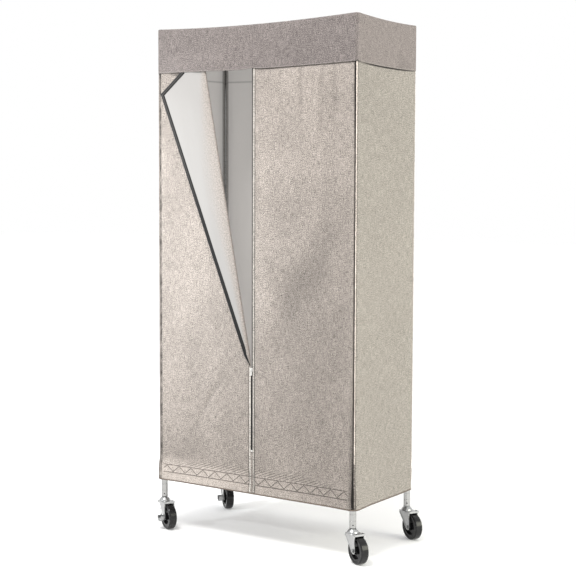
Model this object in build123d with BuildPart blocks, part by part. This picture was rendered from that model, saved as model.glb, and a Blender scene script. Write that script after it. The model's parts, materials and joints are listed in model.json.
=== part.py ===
"""Covered garment rack: four chrome posts on swivel casters, two wire shelves, a hang rod,
and a fitted cloth cover with a zipped front whose left corner is folded back over itself."""

import os
from math import atan2, cos, degrees, floor, hypot, radians, sin, sqrt

from build123d import *

os.makedirs("parts", exist_ok=True)

# Millimetres and degrees. X runs along the rack, Y from front to back, Z up.
# The origin is on the floor, midway between the four posts.

# Running, seating, swinging and cutting allowances
running_gap = 0.05
seat_gap = 0.1
swing_gap = 0.3
overrun = 20.0

# Posts: chrome tube with a groove every inch for the shelf sleeves
post_x = 448.0
post_y = 209.0
post_radius = 12.7
post_wall = 1.2
post_length = 1880.0
groove_pitch = 25.4
groove_width = 1.6
groove_depth = 0.35
lock_hole_radius = 2.5
lock_hole_height = 11.0
lock_hole_turn = -56.0
cap_flange = 2.0
cap_plug = 14.0
insert_flange = 2.0
insert_plug = 30.0

# Casters: each wheel trails behind its swivel axis, at a turn from +X
tyre_radius = 51.0
tyre_width = 32.0
tyre_thickness = 11.0
tyre_shoulder = 4.0
rim_width = 28.0
rim_thickness = 8.0
web_thickness = 10.0
hub_radius = 14.0
hub_width = 34.0
trail = 41.0
front_left_turn = -28.0
front_right_turn = -28.0
rear_left_turn = -40.0
rear_right_turn = -28.0
bush_radius = 6.0
bolt_radius = 4.0
bolt_tail = 2.5
nut_radius = 7.0
nut_height = 5.5
crown_clearance = 4.0
crown_plate = 3.0
crown_radius = 24.0
crown_reach = 54.0
crown_head_height = 5.2
crown_head_radius = 22.0
crown_head_top_radius = 20.0
crown_rim_start = 34.0
crown_rim_height = 4.0
crown_rim_width = 3.0
leg_gap = 38.0
leg_thickness = 2.5
leg_front = -18.0
leg_back = 47.0
leg_shoulder = 10.0
leg_tip_radius = 12.0
leg_rim_width = 3.0
leg_rim_height = 1.5
stem_radius = 5.5
stem_collar_radius = 9.0
stem_collar_height = 3.5
stem_rivet_radius = 9.0
stem_rivet_height = 3.0
race_height = 7.0
race_bottom_radius = 20.5
race_top_radius = 14.0
brake_plate = 2.0
brake_radius = 17.0
brake_shell = 2.0
brake_reach = 17.0
brake_rise = 5.0

# Wire shelves: a deck of wires on a frame of four trusses between the corner collars
bottom_shelf_height = 264.0
top_shelf_height = 1983.0
truss_drop = 30.0
rail_radius = 2.8
rail_offset = 10.0
snake_radius = 1.8
snake_pitch = 60.0
snake_bend = 5.0
snake_weld = 1.0
deck_wire_radius = 1.8
deck_pitch = 25.4
deck_corner_room = 8.0
support_radius = 2.25
support_y = 75.0
support_weld = 0.5
collar_radius = 15.4
collar_wall = 1.5
collar_overhang = 6.0
sleeve_overhang = 4.0
sleeve_split = 1.0

# Hang rod and the two brackets that hook over the top shelf's side rails
rod_height = 1893.0
rod_radius = 12.7
rod_wall = 1.2
rod_cap_flange = 2.0
rod_cap_plug = 15.0
bracket_thickness = 2.4
bracket_width = 40.0
bracket_hook = 2.2
bracket_hook_drop = 12.0
socket_wall = 2.5
socket_depth = 16.0

# Cover: cloth thickness, corner rounding, and the heights of its hem and of the band's edge
cloth = 1.2
cover_corner = 17.0
band_corner = 19.0
hem_height = 198.0
hem_tape_height = 3.0
hem_tape_thickness = 2.0
hem_tape_proud = 0.4
band_bottom = 1838.0
opening_gap = 2.0
panel_tuck = 15.0
piping_radius = 1.2
roof_sag_long = 12.0
roof_sag_cross = 6.0

# Front zip, from its bottom stop up to the band, and the strip that closes the slit below it
zip_bottom = 369.0
slit_half = 3.8
chain_inner = 1.8
chain_width = 1.8
chain_thickness = 2.5
tape_outer = 14.0
tape_thickness = 0.8
teeth_half = 1.6
stop_height = 6.0
placket_half = 12.0
placket_thickness = 1.0

# Zip slider: two plates joined by a wedge, with an arch in front that holds the pull
slider_height = 676.0
slider_length = 14.0
slider_width = 13.0
slider_corner = 3.0
slider_plate = 1.2
slider_room = 1.0
wedge_half = 1.3
wedge_length = 6.0
arch_half = 0.9
arch_bar = 1.2
arch_length = 9.0
arch_room = 2.4
pull_bar_radius = 0.8
pull_arm = 1.6
pull_eye_half = 1.3
pull_eye_length = 6.4
pull_tab_half = 4.0
pull_tab_length = 15.5
pull_tab_corner = 2.0

# Flap: the left panel's upper corner, folded outwards over a sloping line
fold_bottom_x = -3.0
fold_bottom_z = 690.0
fold_top_x = -225.0
flap_start = 765.0
flap_splay = 0.3
roll_radius = 7.0
tape_fold_gap = 1.0

# Stacked heights, worked out from the floor up
axle_height = tyre_radius
crown_bottom = 2 * tyre_radius + crown_clearance
crown_top = crown_bottom + crown_plate + crown_head_height
race_bottom = crown_top + swing_gap
race_top = race_bottom + race_height
insert_bottom = race_top + stem_collar_height
post_bottom = insert_bottom + insert_flange
post_top = post_bottom + post_length
cap_top = post_top + cap_flange
stem_top = post_bottom + insert_plug
panel_bottom = hem_height + hem_tape_height
opening_top = band_bottom - opening_gap

# Shared radii and distances from the middle planes
post_bore = post_radius - post_wall
rim_radius = tyre_radius - tyre_thickness
leg_inner = leg_gap / 2
leg_outer = leg_inner + leg_thickness
brake_inner = leg_outer + leg_rim_height + swing_gap
brake_outer = brake_inner + brake_plate
rail_x = post_x + rail_offset
rail_y = post_y + rail_offset
cover_half_x = post_x + cover_corner
cover_half_y = post_y + cover_corner
band_half_x = post_x + band_corner
band_half_y = post_y + band_corner

# Distances of the zip's layers in front of the rack's middle plane
front_face = cover_half_y
tape_face = front_face - cloth - seat_gap
tape_back = tape_face - tape_thickness
chain_face = tape_back + chain_thickness
slider_back = tape_back - slider_room - slider_plate
slider_front = chain_face + slider_room
arch_base = slider_front + slider_plate
pull_depth = arch_base + swing_gap + pull_bar_radius
pull_height = slider_height + slider_length / 2

corners = {
    "front_left": (-post_x, -post_y, front_left_turn),
    "front_right": (post_x, -post_y, front_right_turn),
    "rear_left": (-post_x, post_y, rear_left_turn),
    "rear_right": (post_x, post_y, rear_right_turn),
}
post_places = [(x, y) for x, y, turn in corners.values()]
braked_corners = ("front_left", "rear_left")

# Front elevation: across is X, up is Z, and the plane faces the front
front = Plane(origin=(0, 0, 0), x_dir=(1, 0, 0), z_dir=(0, -1, 0))


def keep(piece, name):
    """Label a finished piece and write it as one STEP file."""
    piece.part.label = name
    export_step(piece.part, f"parts/{name}.step")


def discs_at_posts(radius):
    """Add a disc on each post's axis to the open sketch."""
    with Locations(*post_places):
        Circle(radius)


def holes_at_posts(radius):
    """Cut a hole on each post's axis out of the open sketch."""
    with Locations(*post_places):
        Circle(radius, mode=Mode.SUBTRACT)


# Posts and their fittings

def make_post(x, y):
    """A tube revolved from its grooved outline, with one lock hole near its foot."""
    outline = [(post_bore, post_bottom), (post_radius, post_bottom)]
    for number in range(1, floor(post_length / groove_pitch)):
        middle = post_bottom + number * groove_pitch
        outline += [
            (post_radius, middle - groove_width / 2),
            (post_radius - groove_depth, middle - groove_width / 2 + groove_depth),
            (post_radius - groove_depth, middle + groove_width / 2 - groove_depth),
            (post_radius, middle + groove_width / 2),
        ]
    outline += [(post_radius, post_top), (post_bore, post_top)]
    turn = radians(lock_hole_turn)
    hole_plane = Plane(
        origin=(x, y, post_bottom + lock_hole_height), z_dir=(cos(turn), sin(turn), 0)
    )
    with BuildPart() as post:
        with BuildSketch(Plane(origin=(x, y, 0), x_dir=(1, 0, 0), z_dir=(0, -1, 0))):
            with BuildLine():
                Polyline(*outline, close=True)
            make_face()
        revolve(axis=Axis((x, y, 0), (0, 0, 1)))
        with BuildSketch(hole_plane):
            Circle(lock_hole_radius)
        extrude(amount=post_radius + overrun, mode=Mode.SUBTRACT)
    return post


def make_post_caps():
    with BuildPart() as post_caps:
        with BuildSketch(Plane.XY.offset(post_top)):
            discs_at_posts(post_radius)
        extrude(amount=cap_flange)
        with BuildSketch(Plane.XY.offset(post_top)):
            discs_at_posts(post_bore - seat_gap)
        extrude(amount=-cap_plug)
    return post_caps


def make_post_inserts():
    stem_bore = stem_radius + seat_gap
    with BuildPart() as post_inserts:
        with BuildSketch(Plane.XY.offset(insert_bottom)):
            discs_at_posts(post_radius)
            holes_at_posts(stem_bore)
        extrude(amount=insert_flange)
        with BuildSketch(Plane.XY.offset(post_bottom)):
            discs_at_posts(post_bore - seat_gap)
            holes_at_posts(stem_bore)
        extrude(amount=insert_plug)
    return post_inserts


# Casters

def caster_side(name):
    """The wheel's mid-plane seen from its outer side: across is the trail, up is Z."""
    x, y, turn = corners[name]
    trail_dir = Vector(cos(radians(turn)), sin(radians(turn)), 0)
    return Plane(origin=(x, y, 0), x_dir=trail_dir, z_dir=trail_dir.cross(Vector(0, 0, 1)))


def caster_plan(name):
    """The caster seen from above: across is the trail, and the origin is the swivel axis."""
    side = caster_side(name)
    return Plane(origin=side.origin, x_dir=side.x_dir, z_dir=(0, 0, 1))


def axle_axis(name):
    side = caster_side(name)
    centre = side.origin + side.x_dir * trail + Vector(0, 0, axle_height)
    return Axis(centre, side.z_dir)


def make_caster_stems():
    rivet_top = crown_bottom - swing_gap
    rivet_bottom = rivet_top - stem_rivet_height
    with BuildPart() as caster_stems:
        with BuildSketch(Plane.XY.offset(rivet_bottom)):
            discs_at_posts(stem_rivet_radius)
        extrude(amount=stem_rivet_height)
        with BuildSketch(Plane.XY.offset(rivet_bottom)):
            discs_at_posts(stem_radius)
        extrude(amount=stem_top - rivet_bottom)
        with BuildSketch(Plane.XY.offset(race_top)):
            discs_at_posts(stem_collar_radius)
        extrude(amount=stem_collar_height)
    return caster_stems


def make_caster_raceways():
    bottoms = [(x, y, race_bottom) for x, y in post_places]
    with BuildPart() as caster_raceways:
        with Locations(*bottoms):
            Cone(race_bottom_radius, race_top_radius, race_height,
                 align=(Align.CENTER, Align.CENTER, Align.MIN))
            Cylinder(stem_radius + seat_gap, race_height,
                     align=(Align.CENTER, Align.CENTER, Align.MIN), mode=Mode.SUBTRACT)
    return caster_raceways


def leg_outline():
    """Add a fork leg's outline to the open sketch: a wide top that tapers to the axle."""
    leg_top = crown_bottom + crown_plate
    with Locations(((leg_front + leg_back) / 2, leg_top - leg_shoulder / 2)):
        Rectangle(leg_back - leg_front, leg_shoulder)
    with Locations((trail, axle_height)):
        Circle(leg_tip_radius)
    make_hull()


def make_fork(name):
    side = caster_side(name)
    plan = caster_plan(name)
    head_bottom = crown_bottom + crown_plate
    with BuildPart() as fork:
        with BuildSketch(plan.offset(crown_bottom)):
            Circle(crown_radius)
            with Locations((crown_reach / 2, 0)):
                Rectangle(crown_reach, 2 * leg_outer)
        extrude(amount=crown_plate)
        with Locations(plan.offset(head_bottom)):
            Cone(crown_head_radius, crown_head_top_radius, crown_head_height,
                 align=(Align.CENTER, Align.CENTER, Align.MIN))
        with BuildSketch(plan.offset(head_bottom)):
            with Locations(((crown_rim_start + crown_reach) / 2, 0)):
                Rectangle(crown_reach - crown_rim_start, 2 * leg_outer)
            with Locations(((crown_rim_start + crown_reach) / 2 - crown_rim_width, 0)):
                Rectangle(crown_reach - crown_rim_start, 2 * (leg_outer - crown_rim_width),
                          mode=Mode.SUBTRACT)
        extrude(amount=crown_rim_height)
        for way in (1, -1):
            with BuildSketch(side.offset(way * leg_inner)):
                leg_outline()
            extrude(amount=way * leg_thickness)
            with BuildSketch(side.offset(way * leg_outer)):
                leg_outline()
                offset(amount=-leg_rim_width, mode=Mode.SUBTRACT)
            extrude(amount=way * leg_rim_height)
        with BuildSketch(side):
            with Locations((trail, axle_height)):
                Circle(bolt_radius + running_gap)
        extrude(amount=leg_outer + overrun, both=True, mode=Mode.SUBTRACT)
        with BuildSketch(plan.offset(crown_bottom)):
            Circle(stem_radius + running_gap)
        extrude(amount=crown_plate + crown_head_height, mode=Mode.SUBTRACT)
    return fork


def make_axle(name):
    """The axle bolt with its hexagon head, its nut, and the bush that the wheel runs on."""
    side = caster_side(name)
    nut_seat = leg_outer
    if name in braked_corners:
        nut_seat = brake_outer + swing_gap
    centre = (trail, axle_height)
    with BuildPart() as axle:
        with BuildSketch(side.offset(-leg_outer)):
            with Locations(centre):
                RegularPolygon(nut_radius, 6)
        extrude(amount=-nut_height)
        with BuildSketch(side.offset(-leg_outer)):
            with Locations(centre):
                Circle(bolt_radius)
        extrude(amount=leg_outer + nut_seat + nut_height + bolt_tail)
        with BuildSketch(side.offset(nut_seat)):
            with Locations(centre):
                RegularPolygon(nut_radius, 6)
                Circle(bolt_radius + running_gap, mode=Mode.SUBTRACT)
        extrude(amount=nut_height)
        with BuildSketch(side.offset(-leg_inner + running_gap)):
            with Locations(centre):
                Circle(bush_radius)
                Circle(bolt_radius + running_gap, mode=Mode.SUBTRACT)
        extrude(amount=leg_gap - 2 * running_gap)
    return axle


def axle_section(name):
    """A half section through the axle: across is the axle, up is the radius."""
    axis = axle_axis(name)
    return Plane(origin=axis.position, x_dir=axis.direction,
                 z_dir=axis.direction.cross(Vector(0, 0, 1)))


def make_wheel(name):
    """The moulded wheel core: hub, web and rim, with a recess on each face."""
    bore = bush_radius + running_gap
    rim_inner = rim_radius - rim_thickness
    half = [
        (hub_width / 2, bore),
        (hub_width / 2, hub_radius),
        (web_thickness / 2, hub_radius),
        (web_thickness / 2, rim_inner),
        (rim_width / 2, rim_inner),
        (rim_width / 2, rim_radius),
    ]
    mirrored = [(-across, radius) for across, radius in reversed(half)]
    with BuildPart() as wheel:
        with BuildSketch(axle_section(name)):
            with BuildLine():
                Polyline(*half, *mirrored, close=True)
            make_face()
        revolve(axis=axle_axis(name))
    return wheel


def make_tyre(name):
    half = [
        (rim_width / 2, rim_radius),
        (tyre_width / 2, rim_radius + tyre_shoulder / 2),
        (tyre_width / 2, tyre_radius - tyre_shoulder),
        (tyre_width / 2 - tyre_shoulder, tyre_radius),
    ]
    mirrored = [(-across, radius) for across, radius in reversed(half)]
    with BuildPart() as tyre:
        with BuildSketch(axle_section(name)):
            with BuildLine():
                Polyline(*half, *mirrored, close=True)
            make_face()
        revolve(axis=axle_axis(name))
    return tyre


def make_brake(name):
    """A side brake: a half cup round the axle, open at the top, on a flat back plate."""
    side = caster_side(name)
    with BuildPart() as brake:
        for depth, start in ((brake_plate, brake_inner), (brake_reach, brake_outer)):
            with BuildSketch(side.offset(start)):
                with Locations((trail, axle_height)):
                    Circle(brake_radius)
                    with Locations((0, brake_radius)):
                        Rectangle(2 * brake_radius, 2 * brake_radius, mode=Mode.SUBTRACT)
                    with Locations((0, brake_rise / 2)):
                        Rectangle(2 * brake_radius, brake_rise)
                    if depth == brake_reach:
                        Circle(brake_radius - brake_shell, mode=Mode.SUBTRACT)
                        with Locations((0, brake_rise / 2)):
                            Rectangle(2 * (brake_radius - brake_shell), brake_rise,
                                      mode=Mode.SUBTRACT)
                    else:
                        Circle(bolt_radius + running_gap, mode=Mode.SUBTRACT)
            extrude(amount=depth)
    return brake


# Wire shelves

def truss_planes():
    """Each side's truss seen square on: across is along the truss, up is Z, facing outwards."""
    return {
        "front": Plane(origin=(0, -rail_y, 0), x_dir=(1, 0, 0), z_dir=(0, -1, 0)),
        "rear": Plane(origin=(0, rail_y, 0), x_dir=(-1, 0, 0), z_dir=(0, 1, 0)),
        "left": Plane(origin=(-rail_x, 0, 0), x_dir=(0, -1, 0), z_dir=(-1, 0, 0)),
        "right": Plane(origin=(rail_x, 0, 0), x_dir=(0, 1, 0), z_dir=(1, 0, 0)),
    }


def make_trusses(shelf_height):
    """Two rails a side with a zigzag wire welded between them, ending at the collars."""
    collar_side = sqrt(collar_radius**2 - (rail_offset - rail_radius) ** 2)
    snake_reach = truss_drop / 2 - rail_radius - snake_radius + snake_weld
    snake_reach += snake_bend * (hypot(snake_pitch / 4, snake_reach) / (snake_pitch / 4) - 1)
    truss_middle = shelf_height - truss_drop / 2
    with BuildPart() as trusses:
        for name, plane in truss_planes().items():
            post_offset = post_x if name in ("front", "rear") else post_y
            half_length = post_offset - collar_side - seat_gap
            bends = 2 * floor((half_length - snake_bend) / snake_pitch)
            zigzag = [
                (number * snake_pitch / 2, truss_middle + snake_reach * (-1) ** number)
                for number in range(-bends, bends + 1)
            ]
            for height in (shelf_height, shelf_height - truss_drop):
                rail_start = plane.origin - plane.x_dir * half_length + Vector(0, 0, height)
                with BuildSketch(Plane(origin=rail_start, z_dir=plane.x_dir)):
                    Circle(rail_radius)
                extrude(amount=2 * half_length)
            with BuildLine(plane) as path:
                FilletPolyline(*zigzag, radius=snake_bend)
            with BuildSketch(Plane(origin=path.line @ 0, z_dir=path.line % 0)):
                Circle(snake_radius)
            sweep(path=path.line)
    return trusses


def make_deck(shelf_height):
    """Wires from front to back on two lengthwise supports; the end pair stops at the collars."""
    wire_height = shelf_height + rail_radius + seat_gap + deck_wire_radius
    support_height = wire_height - deck_wire_radius - support_radius + support_weld
    wire_length = 2 * (rail_y + rail_radius)
    support_length = 2 * (rail_x - rail_radius - seat_gap)
    room = post_x - collar_radius - deck_corner_room
    wires = 2 * floor(room / deck_pitch) + 1
    end_length = 2 * (post_y - collar_radius)
    with BuildPart() as deck:
        with Locations((0, 0, wire_height)):
            with GridLocations(deck_pitch, 0, wires, 1):
                Cylinder(deck_wire_radius, wire_length, rotation=(90, 0, 0))
            with GridLocations((wires + 1) * deck_pitch, 0, 2, 1):
                Cylinder(deck_wire_radius, end_length, rotation=(90, 0, 0))
        with Locations((0, -support_y, support_height), (0, support_y, support_height)):
            Cylinder(support_radius, support_length, rotation=(0, 90, 0))
    return deck


def make_collars(shelf_height):
    bottom = shelf_height - truss_drop - collar_overhang
    with BuildPart() as collars:
        with BuildSketch(Plane.XY.offset(bottom)):
            discs_at_posts(collar_radius)
            holes_at_posts(collar_radius - collar_wall)
        extrude(amount=truss_drop + 2 * collar_overhang)
    return collars


def make_sleeves(shelf_height):
    """Split sleeves that grip the post inside each collar, in two halves."""
    bottom = shelf_height - truss_drop - collar_overhang - sleeve_overhang
    height = truss_drop + 2 * (collar_overhang + sleeve_overhang)
    outer = collar_radius - collar_wall - seat_gap
    with BuildPart() as sleeves:
        with BuildSketch(Plane.XY.offset(bottom)):
            discs_at_posts(outer)
            holes_at_posts(post_radius + running_gap)
            with Locations(*post_places):
                Rectangle(sleeve_split, 2 * collar_radius, mode=Mode.SUBTRACT)
        extrude(amount=height)
    return sleeves


# Hang rod

bracket_inner = rail_x - rail_radius - seat_gap - bracket_thickness
rod_half = bracket_inner - rod_cap_flange - seat_gap


def make_hang_rod():
    with BuildPart() as hang_rod:
        with BuildSketch(Plane(origin=(-rod_half, 0, rod_height), z_dir=(1, 0, 0))):
            Circle(rod_radius)
            Circle(rod_radius - rod_wall, mode=Mode.SUBTRACT)
        extrude(amount=2 * rod_half)
    return hang_rod


def make_rod_caps():
    with BuildPart() as rod_caps:
        for way in (1, -1):
            end = Plane(origin=(way * rod_half, 0, rod_height), z_dir=(way, 0, 0))
            with BuildSketch(end):
                Circle(rod_radius)
            extrude(amount=rod_cap_flange)
            with BuildSketch(end):
                Circle(rod_radius - rod_wall - seat_gap)
            extrude(amount=-rod_cap_plug)
    return rod_caps


def make_rod_brackets():
    """A plate beside each side truss, hooked over its upper rail, with a socket for the rod."""
    socket_radius = rod_radius + seat_gap + socket_wall
    rail_top = top_shelf_height + rail_radius + seat_gap
    bottom = rod_height - socket_radius
    top = rail_top + bracket_thickness
    hook_outer = rail_x + rail_radius + swing_gap + bracket_hook
    with BuildPart() as rod_brackets:
        for way in (1, -1):
            face = Plane(origin=(way * bracket_inner, 0, 0), x_dir=(0, way, 0), z_dir=(way, 0, 0))
            with BuildSketch(face):
                with Locations((0, (rod_height + top) / 2)):
                    Rectangle(bracket_width, top - rod_height)
                with Locations((0, rod_height)):
                    Circle(socket_radius)
            extrude(amount=bracket_thickness)
            with BuildSketch(face):
                with Locations((0, top - bracket_thickness / 2)):
                    Rectangle(bracket_width, bracket_thickness)
            extrude(amount=hook_outer - bracket_inner)
            with BuildSketch(face.offset(hook_outer - bracket_inner)):
                with Locations((0, top - bracket_hook_drop / 2)):
                    Rectangle(bracket_width, bracket_hook_drop)
            extrude(amount=-bracket_hook)
            with BuildSketch(face):
                with Locations((0, rod_height)):
                    Circle(socket_radius)
                    Circle(socket_radius - socket_wall, mode=Mode.SUBTRACT)
            extrude(amount=-socket_depth)
    return rod_brackets


# Cover: walls follow a rounded rectangle, cut apart at the corners' diagonals

def wall_sector(side):
    """The part of the plan that belongs to one wall, bounded by the corners' diagonals."""
    far_x = post_x + band_corner + overrun
    far_y = post_y + band_corner + overrun
    sectors = {
        "front": [(-far_x, -far_y), (far_x, -far_y), (post_x, -post_y), (-post_x, -post_y)],
        "rear": [(far_x, far_y), (-far_x, far_y), (-post_x, post_y), (post_x, post_y)],
        "left": [(-far_x, far_y), (-far_x, -far_y), (-post_x, -post_y), (-post_x, post_y)],
        "right": [(far_x, -far_y), (far_x, far_y), (post_x, post_y), (post_x, -post_y)],
    }
    return sectors[side]


def wall_outline(side, corner, thickness):
    """Add one wall's section to the open sketch."""
    RectangleRounded(2 * (post_x + corner), 2 * (post_y + corner), corner)
    RectangleRounded(2 * (post_x + corner - thickness), 2 * (post_y + corner - thickness),
                     corner - thickness, mode=Mode.SUBTRACT)
    Polygon(*wall_sector(side), align=None, mode=Mode.INTERSECT)


def roof_height(x, y):
    """Height of the roof's under side: it sags between its four corners."""
    along = 1 - (x / band_half_x) ** 2
    across = 1 - (y / band_half_y) ** 2
    return roof_corner_height - roof_sag_long * along - roof_sag_cross * across


def cap_edge_drop():
    """How far the roof has dropped at the inner edge of a post cap."""
    along = 1 - ((post_x - post_radius) / band_half_x) ** 2
    across = 1 - ((post_y - post_radius) / band_half_y) ** 2
    return roof_sag_long * along + roof_sag_cross * across


roof_corner_height = cap_top + swing_gap + cap_edge_drop()
roof_centre_height = roof_height(0, 0)
panel_top = roof_height(0, -band_half_y) - panel_tuck


def roof_surface(lift):
    """The roof's sagging surface, moved up by lift and drawn a little past its edges."""
    reach_x = band_half_x + overrun
    reach_y = band_half_y + overrun
    shares = (-1, -1 / 2, 0, 1 / 2, 1)
    rows = [
        [
            Vector(reach_x * across, reach_y * deep, roof_height(reach_x * across, reach_y * deep))
            + Vector(0, 0, lift)
            for deep in shares
        ]
        for across in shares
    ]
    return Face.make_surface_from_array_of_points(rows)


def make_roof():
    with BuildPart() as cover_roof:
        with BuildSketch(Plane.XY.offset(roof_centre_height - overrun)):
            RectangleRounded(2 * band_half_x, 2 * band_half_y, band_corner)
        extrude(amount=roof_corner_height - roof_centre_height + 2 * overrun)
        extrude(roof_surface(0), amount=cloth, dir=(0, 0, 1), mode=Mode.INTERSECT)
    return cover_roof


def make_band(side):
    """A strip of the band, from its lower edge up to the roof that is sewn to it."""
    height = roof_corner_height - band_bottom
    with BuildPart() as band:
        with BuildSketch(Plane.XY.offset(band_bottom)):
            wall_outline(side, band_corner, cloth)
        extrude(amount=height)
        extrude(roof_surface(-seat_gap), amount=height, dir=(0, 0, 1), mode=Mode.SUBTRACT)
    return band


def make_wall(side):
    with BuildPart() as wall:
        with BuildSketch(Plane.XY.offset(panel_bottom)):
            wall_outline(side, cover_corner, cloth)
        extrude(amount=panel_top - panel_bottom)
    return wall


def make_right_panel():
    middle = (panel_bottom + panel_top) / 2
    with BuildPart() as panel:
        with BuildSketch(Plane.XY.offset(panel_bottom)):
            wall_outline("front", cover_corner, cloth)
        extrude(amount=panel_top - panel_bottom)
        with BuildSketch(front.offset(post_y)):
            with Locations((slit_half - band_half_x, middle)):
                Rectangle(2 * band_half_x, panel_top - panel_bottom + overrun)
        extrude(amount=band_corner + overrun, mode=Mode.SUBTRACT)
    return panel


# Flap: it turns about an axis in front of the panel, so that it closes flush with it

fold_run = hypot(fold_bottom_x - fold_top_x, opening_top - fold_bottom_z)
fold_lean = (fold_bottom_x - fold_top_x) / fold_run
fold_rise = (opening_top - fold_bottom_z) / fold_run
fold_depth = front_face - cloth / 2 + roll_radius
fold_stand = fold_depth - front_face
roll_sweep = roll_radius + cloth / 2 + swing_gap
fold_cutback = sqrt(roll_sweep**2 - fold_stand**2)
roll_lead = degrees(atan2(fold_cutback, fold_stand))
flap_closed = Plane(
    origin=(fold_top_x, -fold_depth, opening_top),
    x_dir=(fold_rise, 0, fold_lean),
    z_dir=(0, -1, 0),
)


def fold_x(height, shift):
    """Where the fold line is at a height, moved square to itself by shift, to the right."""
    return fold_top_x + (opening_top - height) * fold_lean / fold_rise + shift / fold_rise


def on_flap(x, z):
    """A place in the closed front, measured from the fold: across it, and along it."""
    local = flap_closed.to_local_coords(Vector(x, -fold_depth, z))
    return (local.X, local.Y)


# The folded flap stands in front of the panel, splayed a little, so it closes in under half a turn
flap_turn = radians(180 - flap_splay)
flap_folded = Plane(
    origin=flap_closed.origin,
    x_dir=flap_closed.x_dir * cos(flap_turn) + flap_closed.z_dir * sin(flap_turn),
    z_dir=flap_closed.z_dir * cos(flap_turn) - flap_closed.x_dir * sin(flap_turn),
)


def make_left_panel():
    """The left front panel, cut away to the right of the fold line."""
    middle = (panel_bottom + panel_top) / 2
    cut_bottom_z = opening_top - (-slit_half - fold_top_x + fold_cutback / fold_rise) * (
        fold_rise / fold_lean
    )
    cut = [
        (-slit_half, cut_bottom_z),
        (fold_x(band_bottom, -fold_cutback), band_bottom),
        (overrun, band_bottom),
        (overrun, cut_bottom_z),
    ]
    with BuildPart() as panel:
        with BuildSketch(Plane.XY.offset(panel_bottom)):
            wall_outline("front", cover_corner, cloth)
        extrude(amount=panel_top - panel_bottom)
        with BuildSketch(front.offset(post_y)):
            with Locations((band_half_x - slit_half, middle)):
                Rectangle(2 * band_half_x, panel_top - panel_bottom + overrun)
            Polygon(*cut, align=None)
        extrude(amount=band_corner + overrun, mode=Mode.SUBTRACT)
    return panel


def make_flap():
    """The folded corner: a soft roll from the panel's cut edge round the fold, then the flat."""
    roll_reach = roll_radius + cloth
    roll_turn = 180 - flap_splay + roll_lead
    flap_top = opening_top - (slit_half - chain_inner)
    triangle = [
        on_flap(fold_x(flap_start, 0), flap_start),
        on_flap(-slit_half, flap_start),
        on_flap(-slit_half, flap_top),
        on_flap(fold_x(flap_top, 0), flap_top),
    ]
    roll_length = fold_run + 2 * overrun
    along = Vector(-fold_lean, 0, fold_rise)
    roll_plane = Plane(
        origin=flap_closed.origin - along * (roll_length - overrun),
        x_dir=-flap_folded.z_dir,
        z_dir=along,
    )
    with BuildPart() as flap:
        with BuildSketch(roll_plane):
            with BuildLine():
                inner = CenterArc((0, 0), roll_radius - cloth / 2, 0, roll_turn)
                outer = CenterArc((0, 0), roll_radius + cloth / 2, 0, roll_turn)
                Line(inner @ 0, outer @ 0)
                Line(inner @ 1, outer @ 1)
            make_face()
        extrude(amount=roll_length)
        with BuildSketch(Plane.XY.offset(flap_start)):
            with Locations((fold_top_x / 2, -fold_depth)):
                Rectangle(2 * band_half_x, 2 * roll_reach)
        extrude(amount=opening_top - flap_start, mode=Mode.INTERSECT)
        with BuildSketch(flap_folded.offset(-roll_radius - cloth / 2)):
            Polygon(*triangle, align=None)
        extrude(amount=cloth)
    return flap


def make_flap_zip():
    """Tape and chain along the flap's long edge and its short top edge."""
    layers = (
        (tape_outer, tape_back, tape_thickness),
        (chain_inner + chain_width, tape_back, chain_thickness),
    )
    with BuildPart() as flap_zip:
        for outer, back, thickness in layers:
            strip = outer - chain_inner
            edge = [
                on_flap(-outer, flap_start),
                on_flap(-chain_inner, flap_start),
                on_flap(-chain_inner, opening_top),
                on_flap(fold_top_x, opening_top),
                on_flap(fold_x(opening_top - strip, 0), opening_top - strip),
                on_flap(-outer, opening_top - strip),
            ]
            with BuildSketch(flap_folded.offset(back - fold_depth)):
                Polygon(*edge, align=None)
                with Locations((tape_fold_gap + fold_run / 2, 0)):
                    Rectangle(fold_run, 4 * fold_run, mode=Mode.INTERSECT)
            extrude(amount=thickness)
    return flap_zip


# Zip, placket and hem

def zip_strip(outer, inner, bottom, top, back, thickness):
    """Extrude an upright strip of the front, from inner to outer along X."""
    with BuildSketch(front.offset(back)) as strip:
        with Locations(((outer + inner) / 2, (bottom + top) / 2)):
            Rectangle(abs(outer - inner), top - bottom)
    extrude(strip.sketch, amount=thickness)


def make_zip_right():
    """The fixed half of the zip: up the right edge, then along under the band."""
    top_edge = band_bottom + seat_gap
    chain_outer = chain_inner + chain_width
    tape_width = tape_outer - chain_inner
    with BuildPart() as zip_right:
        zip_strip(tape_outer, chain_inner, zip_bottom, top_edge + tape_width,
                  tape_back, tape_thickness)
        zip_strip(chain_outer, chain_inner, zip_bottom, top_edge, tape_back, chain_thickness)
        zip_strip(tape_outer, fold_top_x, top_edge, top_edge + tape_width,
                  tape_back, tape_thickness)
    return zip_right


def make_zip_left():
    """The left half of the closed stretch, up to the slider."""
    with BuildPart() as zip_left:
        zip_strip(-tape_outer, -chain_inner, zip_bottom, slider_height, tape_back, tape_thickness)
        zip_strip(-chain_inner - chain_width, -chain_inner, zip_bottom, slider_height,
                  tape_back, chain_thickness)
    return zip_left


def make_zip_teeth():
    with BuildPart() as zip_teeth:
        zip_strip(-teeth_half, teeth_half, zip_bottom, slider_height - swing_gap,
                  tape_back, chain_thickness)
    return zip_teeth


def make_zip_stop():
    with BuildPart() as zip_stop:
        zip_strip(-chain_inner - chain_width, chain_inner + chain_width,
                  zip_bottom - stop_height, zip_bottom, tape_back, chain_thickness)
    return zip_stop


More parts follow.
